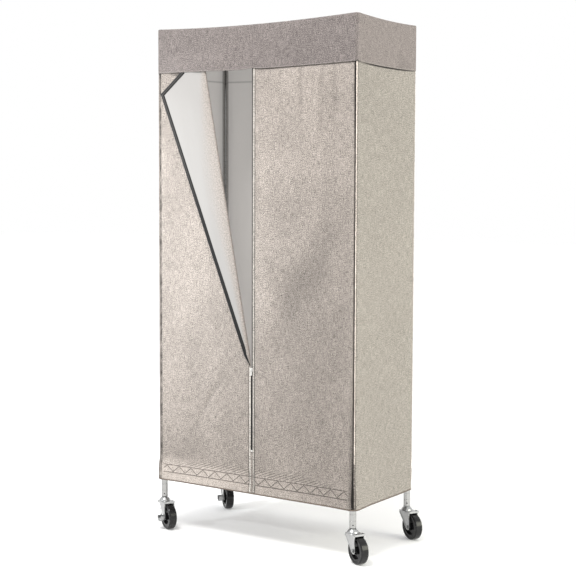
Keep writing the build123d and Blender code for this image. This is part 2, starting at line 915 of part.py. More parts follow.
def make_placket():
    top = zip_bottom - stop_height
    with BuildPart() as placket:
        zip_strip(-placket_half, placket_half, panel_bottom, top,
                  tape_face - placket_thickness, placket_thickness)
        zip_strip(-slit_half + seat_gap, slit_half - seat_gap, panel_bottom, top,
                  tape_face, front_face - tape_face)
    return placket


def make_slider():
    plate_middle = slider_height + slider_length / 2
    slider_top = slider_height + slider_length
    wedge_depth = arch_base - slider_back
    with BuildPart() as slider:
        for depth in (slider_back, slider_front):
            with BuildSketch(front.offset(depth)):
                with Locations((0, plate_middle)):
                    RectangleRounded(slider_width, slider_length, slider_corner)
            extrude(amount=slider_plate)
        zip_strip(-wedge_half, wedge_half, slider_top - wedge_length, slider_top,
                  slider_back, wedge_depth)
        for way in (1, -1):
            post_middle = pull_height + way * (arch_length - arch_bar) / 2
            zip_strip(-arch_half, arch_half, post_middle - arch_bar / 2,
                      post_middle + arch_bar / 2, arch_base, arch_room + arch_bar)
        zip_strip(-arch_half, arch_half, pull_height - arch_length / 2,
                  pull_height + arch_length / 2, arch_base + arch_room, arch_bar)
    return slider


def make_pull():
    """The pull hangs from a round bar that runs under the slider's arch."""
    eye_half = pull_eye_half + pull_arm
    eye_bottom = pull_height - pull_eye_length
    with BuildPart() as pull:
        with Locations((0, -pull_depth, pull_height)):
            Cylinder(pull_bar_radius, 2 * eye_half, rotation=(0, 90, 0))
        with BuildSketch(front.offset(pull_depth - pull_bar_radius)):
            with Locations((0, pull_height - pull_eye_length / 2)):
                Rectangle(2 * eye_half, pull_eye_length)
                Rectangle(2 * pull_eye_half, pull_eye_length, mode=Mode.SUBTRACT)
            with Locations((0, eye_bottom - pull_tab_length / 2)):
                RectangleRounded(2 * pull_tab_half, pull_tab_length, pull_tab_corner)
        extrude(amount=2 * pull_bar_radius)
    return pull


def make_hem():
    """The hem's binding: one closed strip round the cover's lower edge."""
    outer = cover_corner + hem_tape_proud
    inner = outer - hem_tape_thickness
    with BuildPart() as hem:
        with BuildSketch(Plane.XY.offset(hem_height)):
            RectangleRounded(2 * (post_x + outer), 2 * (post_y + outer), outer)
            RectangleRounded(2 * (post_x + inner), 2 * (post_y + inner), inner,
                             mode=Mode.SUBTRACT)
        extrude(amount=hem_tape_height)
    return hem


def make_piping():
    """A corded seam up each corner, over the joint between two walls."""
    reach = (cover_corner + seat_gap + piping_radius) / sqrt(2)
    places = [
        (x + (reach if x > 0 else -reach), y + (reach if y > 0 else -reach))
        for x, y in post_places
    ]
    with BuildPart() as piping:
        with BuildSketch(Plane.XY.offset(panel_bottom + seat_gap)):
            with Locations(*places):
                Circle(piping_radius)
        extrude(amount=opening_top - panel_bottom)
    return piping


for corner_name, (corner_x, corner_y, corner_turn) in corners.items():
    keep(make_post(corner_x, corner_y), f"post_{corner_name}")
    keep(make_fork(corner_name), f"fork_{corner_name}")
    keep(make_axle(corner_name), f"axle_{corner_name}")
    keep(make_wheel(corner_name), f"wheel_{corner_name}")
    keep(make_tyre(corner_name), f"tyre_{corner_name}")
for corner_name in braked_corners:
    keep(make_brake(corner_name), f"brake_lever_{corner_name}")
keep(make_post_caps(), "post_caps")
keep(make_post_inserts(), "post_inserts")
keep(make_caster_stems(), "caster_stems")
keep(make_caster_raceways(), "caster_raceways")

for shelf_name, shelf_rail_height in (
    ("bottom_shelf", bottom_shelf_height),
    ("top_shelf", top_shelf_height),
):
    keep(make_trusses(shelf_rail_height), f"{shelf_name}_trusses")
    keep(make_deck(shelf_rail_height), f"{shelf_name}_deck")
    keep(make_collars(shelf_rail_height), f"{shelf_name}_collars")
    keep(make_sleeves(shelf_rail_height), f"{shelf_name}_sleeves")

keep(make_hang_rod(), "hang_rod")
keep(make_rod_caps(), "rod_end_caps")
keep(make_rod_brackets(), "rod_brackets")

keep(make_roof(), "cover_roof")
for side_name in ("front", "rear", "left", "right"):
    keep(make_band(side_name), f"band_{side_name}")
keep(make_wall("rear"), "back_panel")
keep(make_wall("left"), "left_side_panel")
keep(make_wall("right"), "right_side_panel")
keep(make_right_panel(), "front_right_panel")
keep(make_left_panel(), "front_left_panel")
keep(make_hem(), "hem_binding")
keep(make_piping(), "corner_piping")
keep(make_placket(), "placket")

keep(make_flap(), "flap")
keep(make_flap_zip(), "flap_zip")
keep(make_zip_right(), "zip_right")
keep(make_zip_left(), "zip_left_lower")
keep(make_zip_teeth(), "zip_closed_teeth")
keep(make_zip_stop(), "zip_stop")
keep(make_slider(), "zip_slider")
keep(make_pull(), "zip_pull")

print(f"flap closes after {180 - flap_splay:.2f} degrees, about an axis through "
      f"{flap_closed.origin.X:.2f}, {flap_closed.origin.Y:.2f}, {flap_closed.origin.Z:.2f}")
print(f"roof corners at {roof_corner_height + cloth:.2f}, slider travel "
      f"{opening_top - slider_height - slider_length:.2f}")
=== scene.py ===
"""Covered garment rack: cloth, trims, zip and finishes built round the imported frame."""

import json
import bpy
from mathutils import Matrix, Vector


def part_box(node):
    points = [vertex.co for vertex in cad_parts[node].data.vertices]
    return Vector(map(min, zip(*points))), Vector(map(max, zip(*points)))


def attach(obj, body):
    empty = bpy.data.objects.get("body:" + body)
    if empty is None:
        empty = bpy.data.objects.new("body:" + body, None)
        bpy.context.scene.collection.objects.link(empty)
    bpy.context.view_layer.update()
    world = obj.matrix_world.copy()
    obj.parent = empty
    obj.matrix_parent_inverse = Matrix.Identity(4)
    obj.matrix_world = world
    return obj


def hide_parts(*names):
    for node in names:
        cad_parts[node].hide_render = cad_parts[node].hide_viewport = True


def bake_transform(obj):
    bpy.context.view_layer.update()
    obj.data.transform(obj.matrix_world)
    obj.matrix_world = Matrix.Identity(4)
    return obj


bl_info = {
    "name": "Covered garment rack",
    "version": (1, 0, 0),
    "blender": (4, 5, 0),
    "location": "3D View > Sidebar > Rack",
    "description": "Sews the cover, fits its zip and finishes the metal of a covered garment rack",
    "category": "Object",
}

from math import cos, pi, radians, sin

import bmesh
import bpy
import numpy as np
from bpy.props import FloatProperty, FloatVectorProperty, PointerProperty
from mathutils import Matrix, Vector

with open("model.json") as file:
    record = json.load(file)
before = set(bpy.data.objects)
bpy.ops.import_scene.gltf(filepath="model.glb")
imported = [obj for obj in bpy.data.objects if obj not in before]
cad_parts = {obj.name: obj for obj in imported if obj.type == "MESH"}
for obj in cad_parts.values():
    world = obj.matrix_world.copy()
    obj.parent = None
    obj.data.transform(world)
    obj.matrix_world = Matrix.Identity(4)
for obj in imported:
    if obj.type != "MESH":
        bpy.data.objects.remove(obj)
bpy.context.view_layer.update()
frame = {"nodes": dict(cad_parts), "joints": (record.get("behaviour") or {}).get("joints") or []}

ROOT = "frame_and_cover"
SIDES = ("front", "right", "rear", "left")
MM = 0.001


def middle_of(node, axis):
    low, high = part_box(node)
    return (low[axis] + high[axis]) / 2


# Places read from the frame
POST_X = middle_of("post_front_right", 0)
POST_Y = -middle_of("post_front_right", 1)
PANEL_FOOT, PANEL_TOP = (corner.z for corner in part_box("back_panel"))
BAND_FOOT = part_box("band_front")[0].z
WALL_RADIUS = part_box("back_panel")[1].y - POST_Y
BAND_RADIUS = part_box("band_rear")[1].y - POST_Y
ROOF_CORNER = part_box("cover_roof")[1].z
ZIP_FOOT, ZIP_HEAD = (corner.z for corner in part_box("zip_closed_teeth"))
STOP_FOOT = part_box("zip_stop")[0].z
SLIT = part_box("front_right_panel")[0].x
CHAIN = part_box("zip_right")[0].y
RAIL_RADIUS = 2.8 * MM
RAIL_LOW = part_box("bottom_shelf_trusses")[0].z + RAIL_RADIUS
RAIL_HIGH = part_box("bottom_shelf_trusses")[1].z - RAIL_RADIUS
ZIGZAG = 30 * MM
DECK_PITCH = 25.4 * MM
WELT_OFFSET = 8.6 * MM      # from the slit's edge to the seam of its welt
CLOSED_FRONT = POST_Y + WALL_RADIUS
WALL_MID = CLOSED_FRONT - 0.6 * MM

fold_joint = next(j for j in frame["joints"] if j["name"] == "flap_fold")
FOLD_PLACE = np.array(fold_joint["pos_m"])
FOLD_AXIS = np.array(fold_joint["axis"])
FOLD_TURN = radians(fold_joint["range_deg"][1])
FOLD_ACROSS = np.array([FOLD_AXIS[2], 0, -FOLD_AXIS[0]])
FOLD_LEAN = FOLD_AXIS[0] / FOLD_AXIS[2]
FOLD_FOOT = FOLD_PLACE[2] + (-SLIT - FOLD_PLACE[0]) / FOLD_LEAN
FOLDED = np.array(Matrix.Rotation(-FOLD_TURN, 3, Vector(FOLD_AXIS)))
EDGE_SHARES = np.linspace(0.97, 0.40, 22)   # along the flap's top edge, from its zip
EDGE_OUT = np.array([0.232, 0.973])         # away from that edge, while the flap is closed

SOFT_FOOT = 0.742                   # below this height the folded flap is all soft roll
ROLL_SPREAD = 0.58                  # the roll's reach past the fold, as a share of its depth
TAPE_SPAN = (1.8 * MM, 14 * MM)     # a zip tape's edges, from the zip's middle

# Flat sizes that don't follow from the frame. The flap has a little more than its triangle.
FLAP_FLAT, FLAP_SPARE = (0.24, 1.15), 1.04
ROLL_FLAT, ROLL_AREA = (0.030, 1.15), 0.0275
PLACKET_WIDTH = 0.027

# At the front left, front right, rear right and rear left corner
HEM_DROP = (0.5 * MM, 5.5 * MM, 9 * MM, 5 * MM)
HEM_FLARE = (4.5 * MM, 6 * MM, -3 * MM, 1 * MM)

# The camera that fits the photograph, and the point that it looks at
PICTURE_PIXELS = 576
FOCAL_PIXELS = 1279.8
SENSOR = 36
VIEW_TURN, VIEW_RISE, VIEW_ROLL = radians(33.746), radians(4.109), radians(0.181)
VIEW_HEIGHT, VIEW_ASIDE = 0.9865, 0.01344

# Name, kind, place, target, size, power and tint
LAMPS = (
    ("key", "SPOT", (-2.2, -3.0, 2.4), (-0.78, -0.23, 1.24), 0.25, 950, (0.95, 0.98, 1)),
    ("top", "AREA", (0.1, -1.7, 3.3), (0.1, -0.2, 1.9), 1.0, 72, (1, 0.99, 0.98)),
    ("fill", "AREA", (3.5, 0.35, 1.5), (0.4, 0.0, 1.1), 2.0, 56, (1, 0.995, 0.84)),
)
KEY_CONE = radians(33)


def length(name, default, description, low=0.2 * MM):
    return FloatProperty(name=name, description=description, default=default, min=low,
                         unit="LENGTH", precision=4)


class RackSizes(bpy.types.PropertyGroup):
    cloth: length("Cloth thickness", 1.2 * MM, "Cover cloth with its lining")
    wave: length("Cloth wave", 2.1 * MM, "Depth of the soft waves in the walls", 0.0)
    stitch: length("Stitch pitch", 3.6 * MM, "Distance from stitch to stitch")
    tooth: length("Tooth pitch", 2.4 * MM, "Distance from tooth to tooth of the zip")
    welt: length("Welt width", 5.4 * MM, "Width of the raised strip at each corner")
    camera_distance: length("Camera distance", 5.107, "From the camera to the rack's middle")


def tint(name, description, shade):
    return FloatVectorProperty(name=name, description=description, subtype="COLOR",
                               size=3, min=0, max=1, default=shade)


class RackColours(bpy.types.PropertyGroup):
    cover: tint("Cover", "Heathered cover cloth", (0.270, 0.240, 0.216))
    band: tint("Band", "Darker cloth of the top band", (0.147, 0.129, 0.123))
    lining: tint("Lining", "Off-white lining", (0.256, 0.247, 0.238))
    binding: tint("Binding", "Tape round the hem", (0.16, 0.13, 0.11))
    welt: tint("Welt", "Raised strips beside the zip", (0.52, 0.49, 0.45))
    tape: tint("Zip tape", "Woven tape of the zip", (0.045, 0.043, 0.041))
    chain: tint("Zip chain", "Plastic teeth", (0.012, 0.012, 0.013))
    chrome: tint("Chrome", "Posts, shelves and rod", (0.40, 0.40, 0.395))
    zinc: tint("Zinc", "Caster forks and brakes", (0.47, 0.475, 0.475))
    tread: tint("Tread", "Hard rubber of the wheels", (0.006, 0.006, 0.0065))


# Shader graphs

class Value:
    """A number socket of a shader, with arithmetic that adds Math nodes."""

    def __init__(self, graph, socket):
        self.graph, self.socket = graph, socket

    def maths(self, operation, *others, first=None):
        given = (self, *others) if first is None else (first, self)
        node = self.graph.node("ShaderNodeMath", {"operation": operation}, dict(enumerate(given)))
        return Value(self.graph, node.outputs[0])

    def __add__(self, other):
        return self.maths("ADD", other)

    def __sub__(self, other):
        return self.maths("SUBTRACT", other)

    def __mul__(self, other):
        return self.maths("MULTIPLY", other)

    def __truediv__(self, other):
        return self.maths("DIVIDE", other)

    def __rsub__(self, other):
        return self.maths("SUBTRACT", first=other)

    def __abs__(self):
        return self.maths("ABSOLUTE")

    __radd__ = __add__
    __rmul__ = __mul__

    def ribs(self, pitch):
        return (self * (2 * pi / pitch)).maths("SINE")

    def clear(self):
        """Kept between 0 and 1."""
        return self.maths("MAXIMUM", 0.0).maths("MINIMUM", 1.0)

    def step(self, low, high):
        """0 below low, 1 above high, smooth between."""
        node = self.graph.node("ShaderNodeMapRange", {"interpolation_type": "SMOOTHSTEP"},
                               {"Value": self, "From Min": low, "From Max": high})
        return Value(self.graph, node.outputs["Result"])


class Finish:
    """A material with one Principled shader, and the few nodes that finishes share."""

    def __init__(self, name):
        self.material = bpy.data.materials.new(name)
        self.material.use_nodes = True
        self.tree = self.material.node_tree
        self.shader = next(n for n in self.tree.nodes if n.type == "BSDF_PRINCIPLED")

    def node(self, kind, settings=None, sockets=None):
        node = self.tree.nodes.new(kind)
        for key, setting in (settings or {}).items():
            setattr(node, key, setting)
        for key, value in (sockets or {}).items():
            self.join(node.inputs[key], value)
        return node

    def join(self, target, value):
        source = getattr(value, "socket", value)
        if isinstance(source, bpy.types.NodeSocket):
            self.tree.links.new(source, target)
        elif hasattr(target.default_value, "__len__") and len(target.default_value) == 4:
            target.default_value = (*source[:3], 1.0)
        else:
            target.default_value = source

    def place(self, stretch=(1, 1, 1), shift=(0, 0, 0), on_cloth=False):
        """Object coordinates, or the cloth's own map in metres, stretched and shifted."""
        if on_cloth:
            source = self.node("ShaderNodeUVMap", {"uv_map": "cloth"}).outputs["UV"]
        else:
            source = self.node("ShaderNodeTexCoord").outputs["Object"]
        return self.node("ShaderNodeVectorMath", {"operation": "MULTIPLY_ADD"},
                         {0: source, 1: stretch, 2: shift}).outputs[0]

    def noise(self, stretch, shift, detail=2, rough=0.5, on_cloth=False):
        node = self.node("ShaderNodeTexNoise", {"noise_dimensions": "3D"},
                         {"Vector": self.place(stretch, shift, on_cloth), "Scale": 1.0,
                          "Detail": detail, "Roughness": rough})
        return Value(self, node.outputs["Fac"])

    def cells(self, stretch, shift, detail=1, rough=0.5):
        """Noise in the cloth's own map, so that it follows the threads."""
        return self.noise((*stretch, 1), shift, detail, rough, True)

    def cloth_map(self):
        """Places across and along the cloth, in metres."""
        node = self.node("ShaderNodeSeparateXYZ", None, {0: self.place(on_cloth=True)})
        return [Value(self, output) for output in node.outputs[:2]]

    def mark(self, name):
        node = self.node("ShaderNodeAttribute", {"attribute_name": name})
        return Value(self, node.outputs["Fac"]).clear()

    def mix(self, factor, first, second, blend="MIX"):
        node = self.node("ShaderNodeMix", {"data_type": "RGBA", "blend_type": blend})
        for name, value in (("Factor", factor), ("A", first), ("B", second)):
            self.join(next(s for s in node.inputs if s.name == name and s.enabled), value)
        return next(s for s in node.outputs if s.enabled)

    def bump(self, height, depth, strength=0.5):
        node = self.node("ShaderNodeBump", None,
                         {"Height": height, "Distance": depth, "Strength": strength})
        self.join(self.shader.inputs["Normal"], node.outputs[0])

    def set(self, **values):
        for key, value in values.items():
            self.join(self.shader.inputs[key.replace("_", " ")], value)
        return self.material


def shade(colour, times):
    return tuple(min(1.0, part * times) for part in colour)


def shelf_shade_lines(u, v):
    """Dark lines of painted shade where the cloth lies over the shelf's rails, zigzag and deck
    wires.
    """
    fine, wide = 0.8 * MM, 2.2 * MM
    within = 1 - abs(u).step(POST_X - 0.016, POST_X - 0.008)
    rails = (1 - abs(v - RAIL_HIGH).step(fine, wide)).maths(
        "MAXIMUM", 1 - abs(v - RAIL_LOW).step(fine, wide))
    share = abs((u / (2 * ZIGZAG)).maths("FRACT") * 2 - 1)
    rise = RAIL_HIGH - RAIL_LOW - 6 * MM
    lean = float(np.hypot(1, rise / ZIGZAG))
    wire = 1 - abs(v - (share * rise + RAIL_LOW + 3 * MM)).step(fine * lean, wide * lean)
    wire = wire * v.step(RAIL_LOW - 1 * MM, RAIL_LOW) * (1 - v.step(RAIL_HIGH, RAIL_HIGH + 1 * MM))
    slope, half_length, depth = 0.39, 0.43, 0.040
    row = ((u - (v - RAIL_HIGH) / slope) / DECK_PITCH).maths("FRACT")
    deck = 1 - abs(row - 0.5).step(0.06, 0.21)
    reach = (1 - abs(u / half_length).maths("POWER", 3.0)) * depth
    deck = deck * v.step(RAIL_HIGH + 2 * MM, RAIL_HIGH + 5 * MM) * (
        1 - (v - RAIL_HIGH - reach).step(-0.016, 0.004)) * 0.85
    return rails.maths("MAXIMUM", wire).maths("MAXIMUM", deck) * within


def woven(name, colour, contrast, fleck, seed, shelf=0.0, mottle=0.16):
    """Heathered linen weave: slubs along both threads and flecks, with painted shade and light:
    soft mottled shading, shelf lines, lighter lit patches and seam shadow.
    """
    f = Finish(name)
    shift = (seed * 3.7, seed * 5.3, seed)
    slub_up, slub_across, grain = (
        f.cells(stretch, shift) for stretch in ((500, 30), (42, 470), (450, 500)))
    cloud = f.cells((34, 22), shift, 3, 0.6)
    broad, patch = (f.cells(stretch, shift, 2) for stretch in ((3.2, 1.7), (11, 7)))
    thread = ((slub_up - 0.5) * 1.3 + (slub_across - 0.5) * 1.2
              + (grain - 0.5) * 5.2 + (cloud - 0.5) * 0.15)
    tone = (thread * contrast + 0.5).clear()
    body = f.mix(tone, shade(colour, 0.34), shade(colour, 1.58))
    # Painted shade and light: soft random mottling, darker and lighter, for the shading of the
    # cloth's waves.
    mottled_shading = (broad * 0.6 + patch * 0.4).step(0.32, 0.68)
    body = f.mix(1.0, body, f.mix(mottled_shading, (1 - mottle,) * 3, (1 + mottle,) * 3), "MULTIPLY")
    specks = f.cells((270, 270), (seed, 9, 2), 1, 0.4).step(0.66, 0.72)
    body = f.mix(specks * fleck, body, shade(colour, 0.18))
    # Painted light: where this mark is set, the cloth is mixed towards a lighter, lit copy of
    # itself.
    body = f.mix(f.mark("glow"), body, f.mix(tone, shade(colour, 0.82), shade(colour, 2.30)))
    u, v = f.cloth_map()
    # Painted shade of the shelf's wires behind the cloth.
    if shelf:
        lines = shelf_shade_lines(u, v) * (thread * 0.8 + 0.9).clear() * shelf
        body = f.mix(lines, body, shade(colour, 0.22))
    body = f.mix(f.mark("shadow") * 0.98, body, shade(colour, 0.03))
    weave = u.ribs(1.6 * MM) * v.ribs(1.6 * MM)
    f.bump(weave * 0.10 + slub_up * 0.4 + slub_across * 0.4 + grain * 0.5, 0.5 * MM)
    return f.set(Base_Color=body, Roughness=(0.97 - tone * 0.14), Sheen_Weight=0.08,
                 Sheen_Roughness=0.5, Specular_IOR_Level=0.15)


def lined(name, colour, outer, seed, lit=0.0):
    """Smooth off-white lining. Where it rolls over the fold it takes painted shade: a greige
    cover-cloth tone with a weave grain.
    """
    f = Finish(name)
    shift = (seed, seed * 2.1, 0)
    threads, soft = (f.cells(stretch, shift, 2) for stretch in ((420, 60), (9, 3)))
    body = f.mix((threads - 0.5) * 0.5 + 0.5, shade(colour, 0.93), shade(colour, 1.05))
    # Soft darker streaks: painted shade of the lining's waves.
    body = f.mix(soft.step(0.35, 0.7) * 0.35, body, shade(colour, 0.9))
    # Painted shade where the lining turns away over the fold: the cover cloth's tone and grain, in
    # streaks.
    grain = f.cells((170, 170), shift, 4, 0.75)
    shaded_weave = f.mix(((grain - 0.5) * 3.2 + 0.5).clear(), shade(outer, 0.52), shade(outer, 1.25))
    streak = f.cells((95, 7), shift, 3, 0.6)
    thin = f.mark("thin")
    thin = (thin * ((streak - 0.5) * 2.6 * (1 - thin) + 1)).clear()
    body = f.mix(thin, body, shaded_weave)
    body = f.mix(f.mark("shadow") * 0.7, body, shade(colour, 0.25))
    u, v = f.cloth_map()
    f.bump(u.ribs(1.2 * MM) * v.ribs(1.2 * MM) * 0.1 + threads * 0.5 + grain * 0.2, 0.3 * MM)
    # Painted light: the lining glows, for the light that comes through the cloth.
    if lit:
        f.set(Emission_Color=body, Emission_Strength=lit)
    return f.set(Base_Color=body, Roughness=0.88 - soft * 0.08, Sheen_Weight=0.15,
                 Sheen_Roughness=0.4)


def taped(name, colour, pitch, edge=0.0):
    """Narrow woven tape: ribs across its length, darkened by its shadow mark as far as edge sets:
    painted seam shadow.
    """
    f = Finish(name)
    ribs = f.cloth_map()[1].ribs(pitch)
    fuzz = f.cells((700, 300), (0, 0, 0), 3, 0.6)
    body = f.mix((ribs * 0.2 + fuzz * 0.9).clear(), shade(colour, 0.72), shade(colour, 1.2))
    body = f.mix(f.mark("shadow") * edge, body, (0.015, 0.015, 0.015))
    f.bump(ribs * 0.4 + fuzz * 0.6, 0.3 * MM, 0.6)
    return f.set(Base_Color=body, Roughness=0.95 - fuzz * 0.15, Sheen_Weight=0.04,
                 Specular_IOR_Level=0.12)


def plated(name, colour, rough, grain=1.0, streak=(1, 1, 1)):
    """Bright plating: faint haze, fine scratches and slightly uneven gloss."""
    f = Finish(name)
    haze = f.noise((28, 28, 28), (1, 2, 3), 3, 0.55)
    fine = f.noise(tuple(420 * s for s in streak), (3, 1, 2))
    stain = f.noise((70, 70, 45), (5, 6, 7), 4, 0.65).step(0.52, 0.78)
    body = f.mix(haze.step(0.3, 0.75) * 0.5 * grain, colour, shade(colour, 0.86))
    body = f.mix(stain * 0.25 * grain, body, shade(colour, 0.62))
    f.bump(fine * 0.5 + haze * 0.5, 0.12 * MM * grain)
    return f.set(Base_Color=body, Metallic=1.0,
                 Roughness=rough * (haze * 0.5 + fine * 0.35 + stain * 0.5 + 0.6))


def moulded(name, colour, rough, coat=0.0, scuff=0.3, shine=0.3):
    """Moulded rubber or plastic: fine grain, dull scuffs, soft gloss."""
    f = Finish(name)
    grain = f.noise((520, 520, 520), (0, 0, 0))
    wear = f.noise((42, 42, 42), (4, 1, 3), 5, 0.7).step(0.45, 0.8)
    body = f.mix(wear * scuff, colour, tuple(part * 0.8 + 0.04 for part in colour))
    f.bump(grain * 0.6 + wear * 0.4, 0.18 * MM)
    return f.set(Base_Color=body, Roughness=rough + wear * 0.22 - grain * 0.05,
                 Coat_Weight=coat, Coat_Roughness=0.2, Specular_IOR_Level=shine)


finishes = {}


def make_finishes(colours):
    c = {key: tuple(getattr(colours, key)) for key in RackColours.__annotations__}
    finishes.update(
        front=woven("front_cloth", c["cover"], 1.8, 0.8, 1, shelf=0.9, mottle=0.13),
        wall=woven("wall_cloth", (0.306, 0.281, 0.252), 0.85, 0.25, 2, mottle=0.04),
        band=woven("band_cloth", c["band"], 2.1, 0.4, 3, mottle=0.05),
        roof=woven("roof_cloth", c["band"], 2.1, 0.4, 5, mottle=0.05),
        lining=lined("lining_cloth", c["lining"], c["cover"], 1),
        # The inside lining is a brighter copy that glows: painted light for the light that comes
        # through the cloth.
        inside=lined("inside_cloth", shade(c["lining"], 2.1), c["cover"], 3, 0.5),
        facing=lined("band_facing", shade(c["lining"], 1.5), c["band"], 4),
        binding=taped("binding_tape", c["binding"], 1.4 * MM),
        welt=woven("welt_cloth", shade(c["cover"], 2.3), 0.7, 0.3, 6),
        light_welt=woven("light_welt_cloth", c["welt"], 0.5, 0.2, 7),
        placket=woven("placket_cloth", shade(c["cover"], 0.94), 1.2, 0.5, 8),
        tape=taped("zip_tape", c["tape"], 1.1 * MM, 0.97),
        thread=taped("pale_thread", (0.60, 0.57, 0.52), 0.6 * MM),
        dark_thread=taped("dark_thread", (0.10, 0.085, 0.075), 0.6 * MM),
        teeth=moulded("zip_teeth", c["chain"], 0.45, 0.0, 0.08, 0.12),
        chrome=plated("chrome_plate", c["chrome"], 0.16, 0.7, (1, 1, 0.1)),
        rod=plated("chrome_rod", c["chrome"], 0.14, 0.7, (0.1, 1, 1)),
        zinc=plated("zinc_plate", c["zinc"], 0.30),
        bolt=plated("bolt_steel", shade(c["zinc"], 0.86), 0.27),
        nickel=plated("nickel_plate", (0.80, 0.79, 0.76), 0.18, 0.5),
        core=moulded("wheel_core", shade(c["tread"], 1.3), 0.20, 0.1, 0.10),
        tread=moulded("wheel_tread", c["tread"], 0.25, 0.1, 0.12),
        plastic=moulded("black_plastic", (0.02, 0.02, 0.021), 0.42, 0.0, 0.2),
    )


# Mesh helpers

def graded(low, high, fine, coarse, reach=0.02):
    """Values from low to high, close together near both ends."""
    values, place = [low], low
    while place < high:
        near = min(place - low, high - place)
        place += fine + (coarse - fine) * min(1.0, max(0.0, near) / reach)
        values.append(place)
    span = values[-1] - low
    return np.array(values) * (high - low) / span + low * (1 - (high - low) / span)


def merged(*lists):
    """Sorted values of several lists, without those that nearly repeat."""
    values = np.sort(np.concatenate(lists))
    return values[np.concatenate([[True], np.diff(values) > 0.4 * MM])]


def ease(value, low, high):
    """0 below low, 1 above high, smooth between."""
    t = np.clip((value - low) / (high - low), 0, 1)
    return t * t * (3 - 2 * t)


def fade(value, low, high):
    """1 below low, 0 above high, smooth between."""
    return 1 - ease(value, low, high)


def hump(value, middle, width):
    return np.exp(-(((value - middle) / width) ** 2))


def stacked(*parts):
    """Points from their coordinates, of which some may be single numbers."""
    return np.stack(np.broadcast_arrays(*parts), axis=-1)


def running(path):
    """Length along a path, at each of its points."""
    return np.concatenate([[0], np.cumsum(np.linalg.norm(np.diff(path, axis=0), axis=1))])


def facing(grid):
    """Unit normals of a grid of points whose columns run right and rows run up."""
    normal = np.cross(np.gradient(grid, axis=1), np.gradient(grid, axis=0))
    return normal / np.maximum(np.linalg.norm(normal, axis=2, keepdims=True), 1e-12)


def grid_quads(rows, columns, wrap=False, ring=False):
    index = np.arange(rows * columns).reshape(rows, columns)
    if wrap:
        index = np.hstack([index, index[:, :1]])
    if ring:
        index = np.vstack([index, index[:1]])
    return np.stack([index[:-1, :-1], index[:-1, 1:], index[1:, 1:], index[1:, :-1]], axis=2)


def linked(name, mesh):
    thing = bpy.data.objects.new(name, mesh)
    bpy.context.scene.collection.objects.link(thing)
    return thing


def new_object(name, points, faces, uv=None, marks=None, materials=(), indices=None):
    """A smooth mesh object with its map in metres and its per-point marks."""
    mesh = bpy.data.meshes.new(name)
    mesh.from_pydata([tuple(p) for p in points], [], [tuple(f) for f in faces])
    if uv is not None:
        layer = mesh.uv_layers.new(name="cloth")
        loops = np.zeros(len(mesh.loops), np.int32)
        mesh.loops.foreach_get("vertex_index", loops)
        layer.data.foreach_set("uv", np.asarray(uv, float)[loops].astype(np.float32).ravel())
    for key, values in (marks or {}).items():
        mesh.attributes.new(key, "FLOAT", "POINT").data.foreach_set(
            "value", np.asarray(values, np.float32))
    for material in materials:
        mesh.materials.append(material)
    if indices is not None:
        mesh.polygons.foreach_set("material_index", np.asarray(indices, np.int32))
    mesh.shade_smooth()
    mesh.validate()
    return linked(name, mesh)


def cloth_shell(name, points, normals, thickness, uv, quads, cloths, marks=None):
    """A closed shell of cloth from some quads of a surface: outside, lining and raw edge."""
    quads = np.asarray(quads).reshape(-1, 4)
    used, flat = np.unique(quads, return_inverse=True)
    quads = flat.reshape(-1, 4)
    points, normals = points.reshape(-1, 3)[used], normals.reshape(-1, 3)[used]
    count = len(used)
    edges = np.concatenate([quads[:, [i, (i + 1) % 4]] for i in range(4)])
    free = edges[~np.isin(edges[:, 0] * count + edges[:, 1], edges[:, 1] * count + edges[:, 0])]
    rim = np.stack([free[:, 1], free[:, 0], free[:, 0] + count, free[:, 1] + count], axis=1)
    faces = np.concatenate([quads, quads[:, ::-1] + count, rim])
    indices = np.repeat([0, 1, 0], [len(quads), len(quads), len(rim)])
    both = np.concatenate([points + normals * thickness / 2, points - normals * thickness / 2])
    marks = {key: np.tile(values.reshape(-1)[used], 2) for key, values in (marks or {}).items()}
    uv = np.tile(uv.reshape(-1, 2)[used], (2, 1))
    return new_object(name, both, faces, uv, marks, [finishes[cloth] for cloth in cloths], indices)


def sewn(name, grid, thickness, uv, cloths, marks=None):
    """A closed shell of cloth from a whole grid of points."""
    return cloth_shell(name, grid, facing(grid), thickness, uv, grid_quads(*grid.shape[:2]),
                       cloths, marks)


def swept(name, path, sides, section, finish, ring=False):
    """An oval tube along a path. section is its reach along each of two given directions."""
    wide, high = (np.broadcast_to(side, path.shape)[:, None] for side in sides)
    angles = np.linspace(0, 2 * pi, 12, endpoint=False)
    reach = np.array([(section[0] * cos(a), section[1] * sin(a)) for a in angles])
    points = path[:, None] + wide * reach[None, :, :1] + high * reach[None, :, 1:]
    rows, columns = points.shape[:2]
    uv = stacked(angles[None] * MM, running(path)[:, None])
    faces = [tuple(q) for q in grid_quads(rows, columns, True, ring).reshape(-1, 4)]
    if not ring:
        faces += [tuple(range(columns))[::-1], tuple(range((rows - 1) * columns, rows * columns))]
    thing = new_object(name, points.reshape(-1, 3), faces, uv.reshape(-1, 2), None,
                       [finishes[finish]])
    work = bmesh.new()
    work.from_mesh(thing.data)
    bmesh.ops.recalc_face_normals(work, faces=work.faces)
    work.to_mesh(thing.data)
    work.free()
    return thing


def joined(name, things):
    """One object from several, with their materials, map and marks kept."""
    with bpy.context.temp_override(active_object=things[0], selected_editable_objects=things):
        bpy.ops.object.join()
    things[0].name = things[0].data.name = name
    return things[0]


def placed(thing, body, slot, *nodes):
    """A piece with its body, its slot, which is not used, and the nodes that it stands for."""
    if body:
        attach(thing, body)
    if nodes:
        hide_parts(*nodes)
    return thing


def as_cloth(thing, nodes, flat, body=ROOT, area=None,
             slot="cover_cloth"):
    placed(thing, body, slot, *nodes)


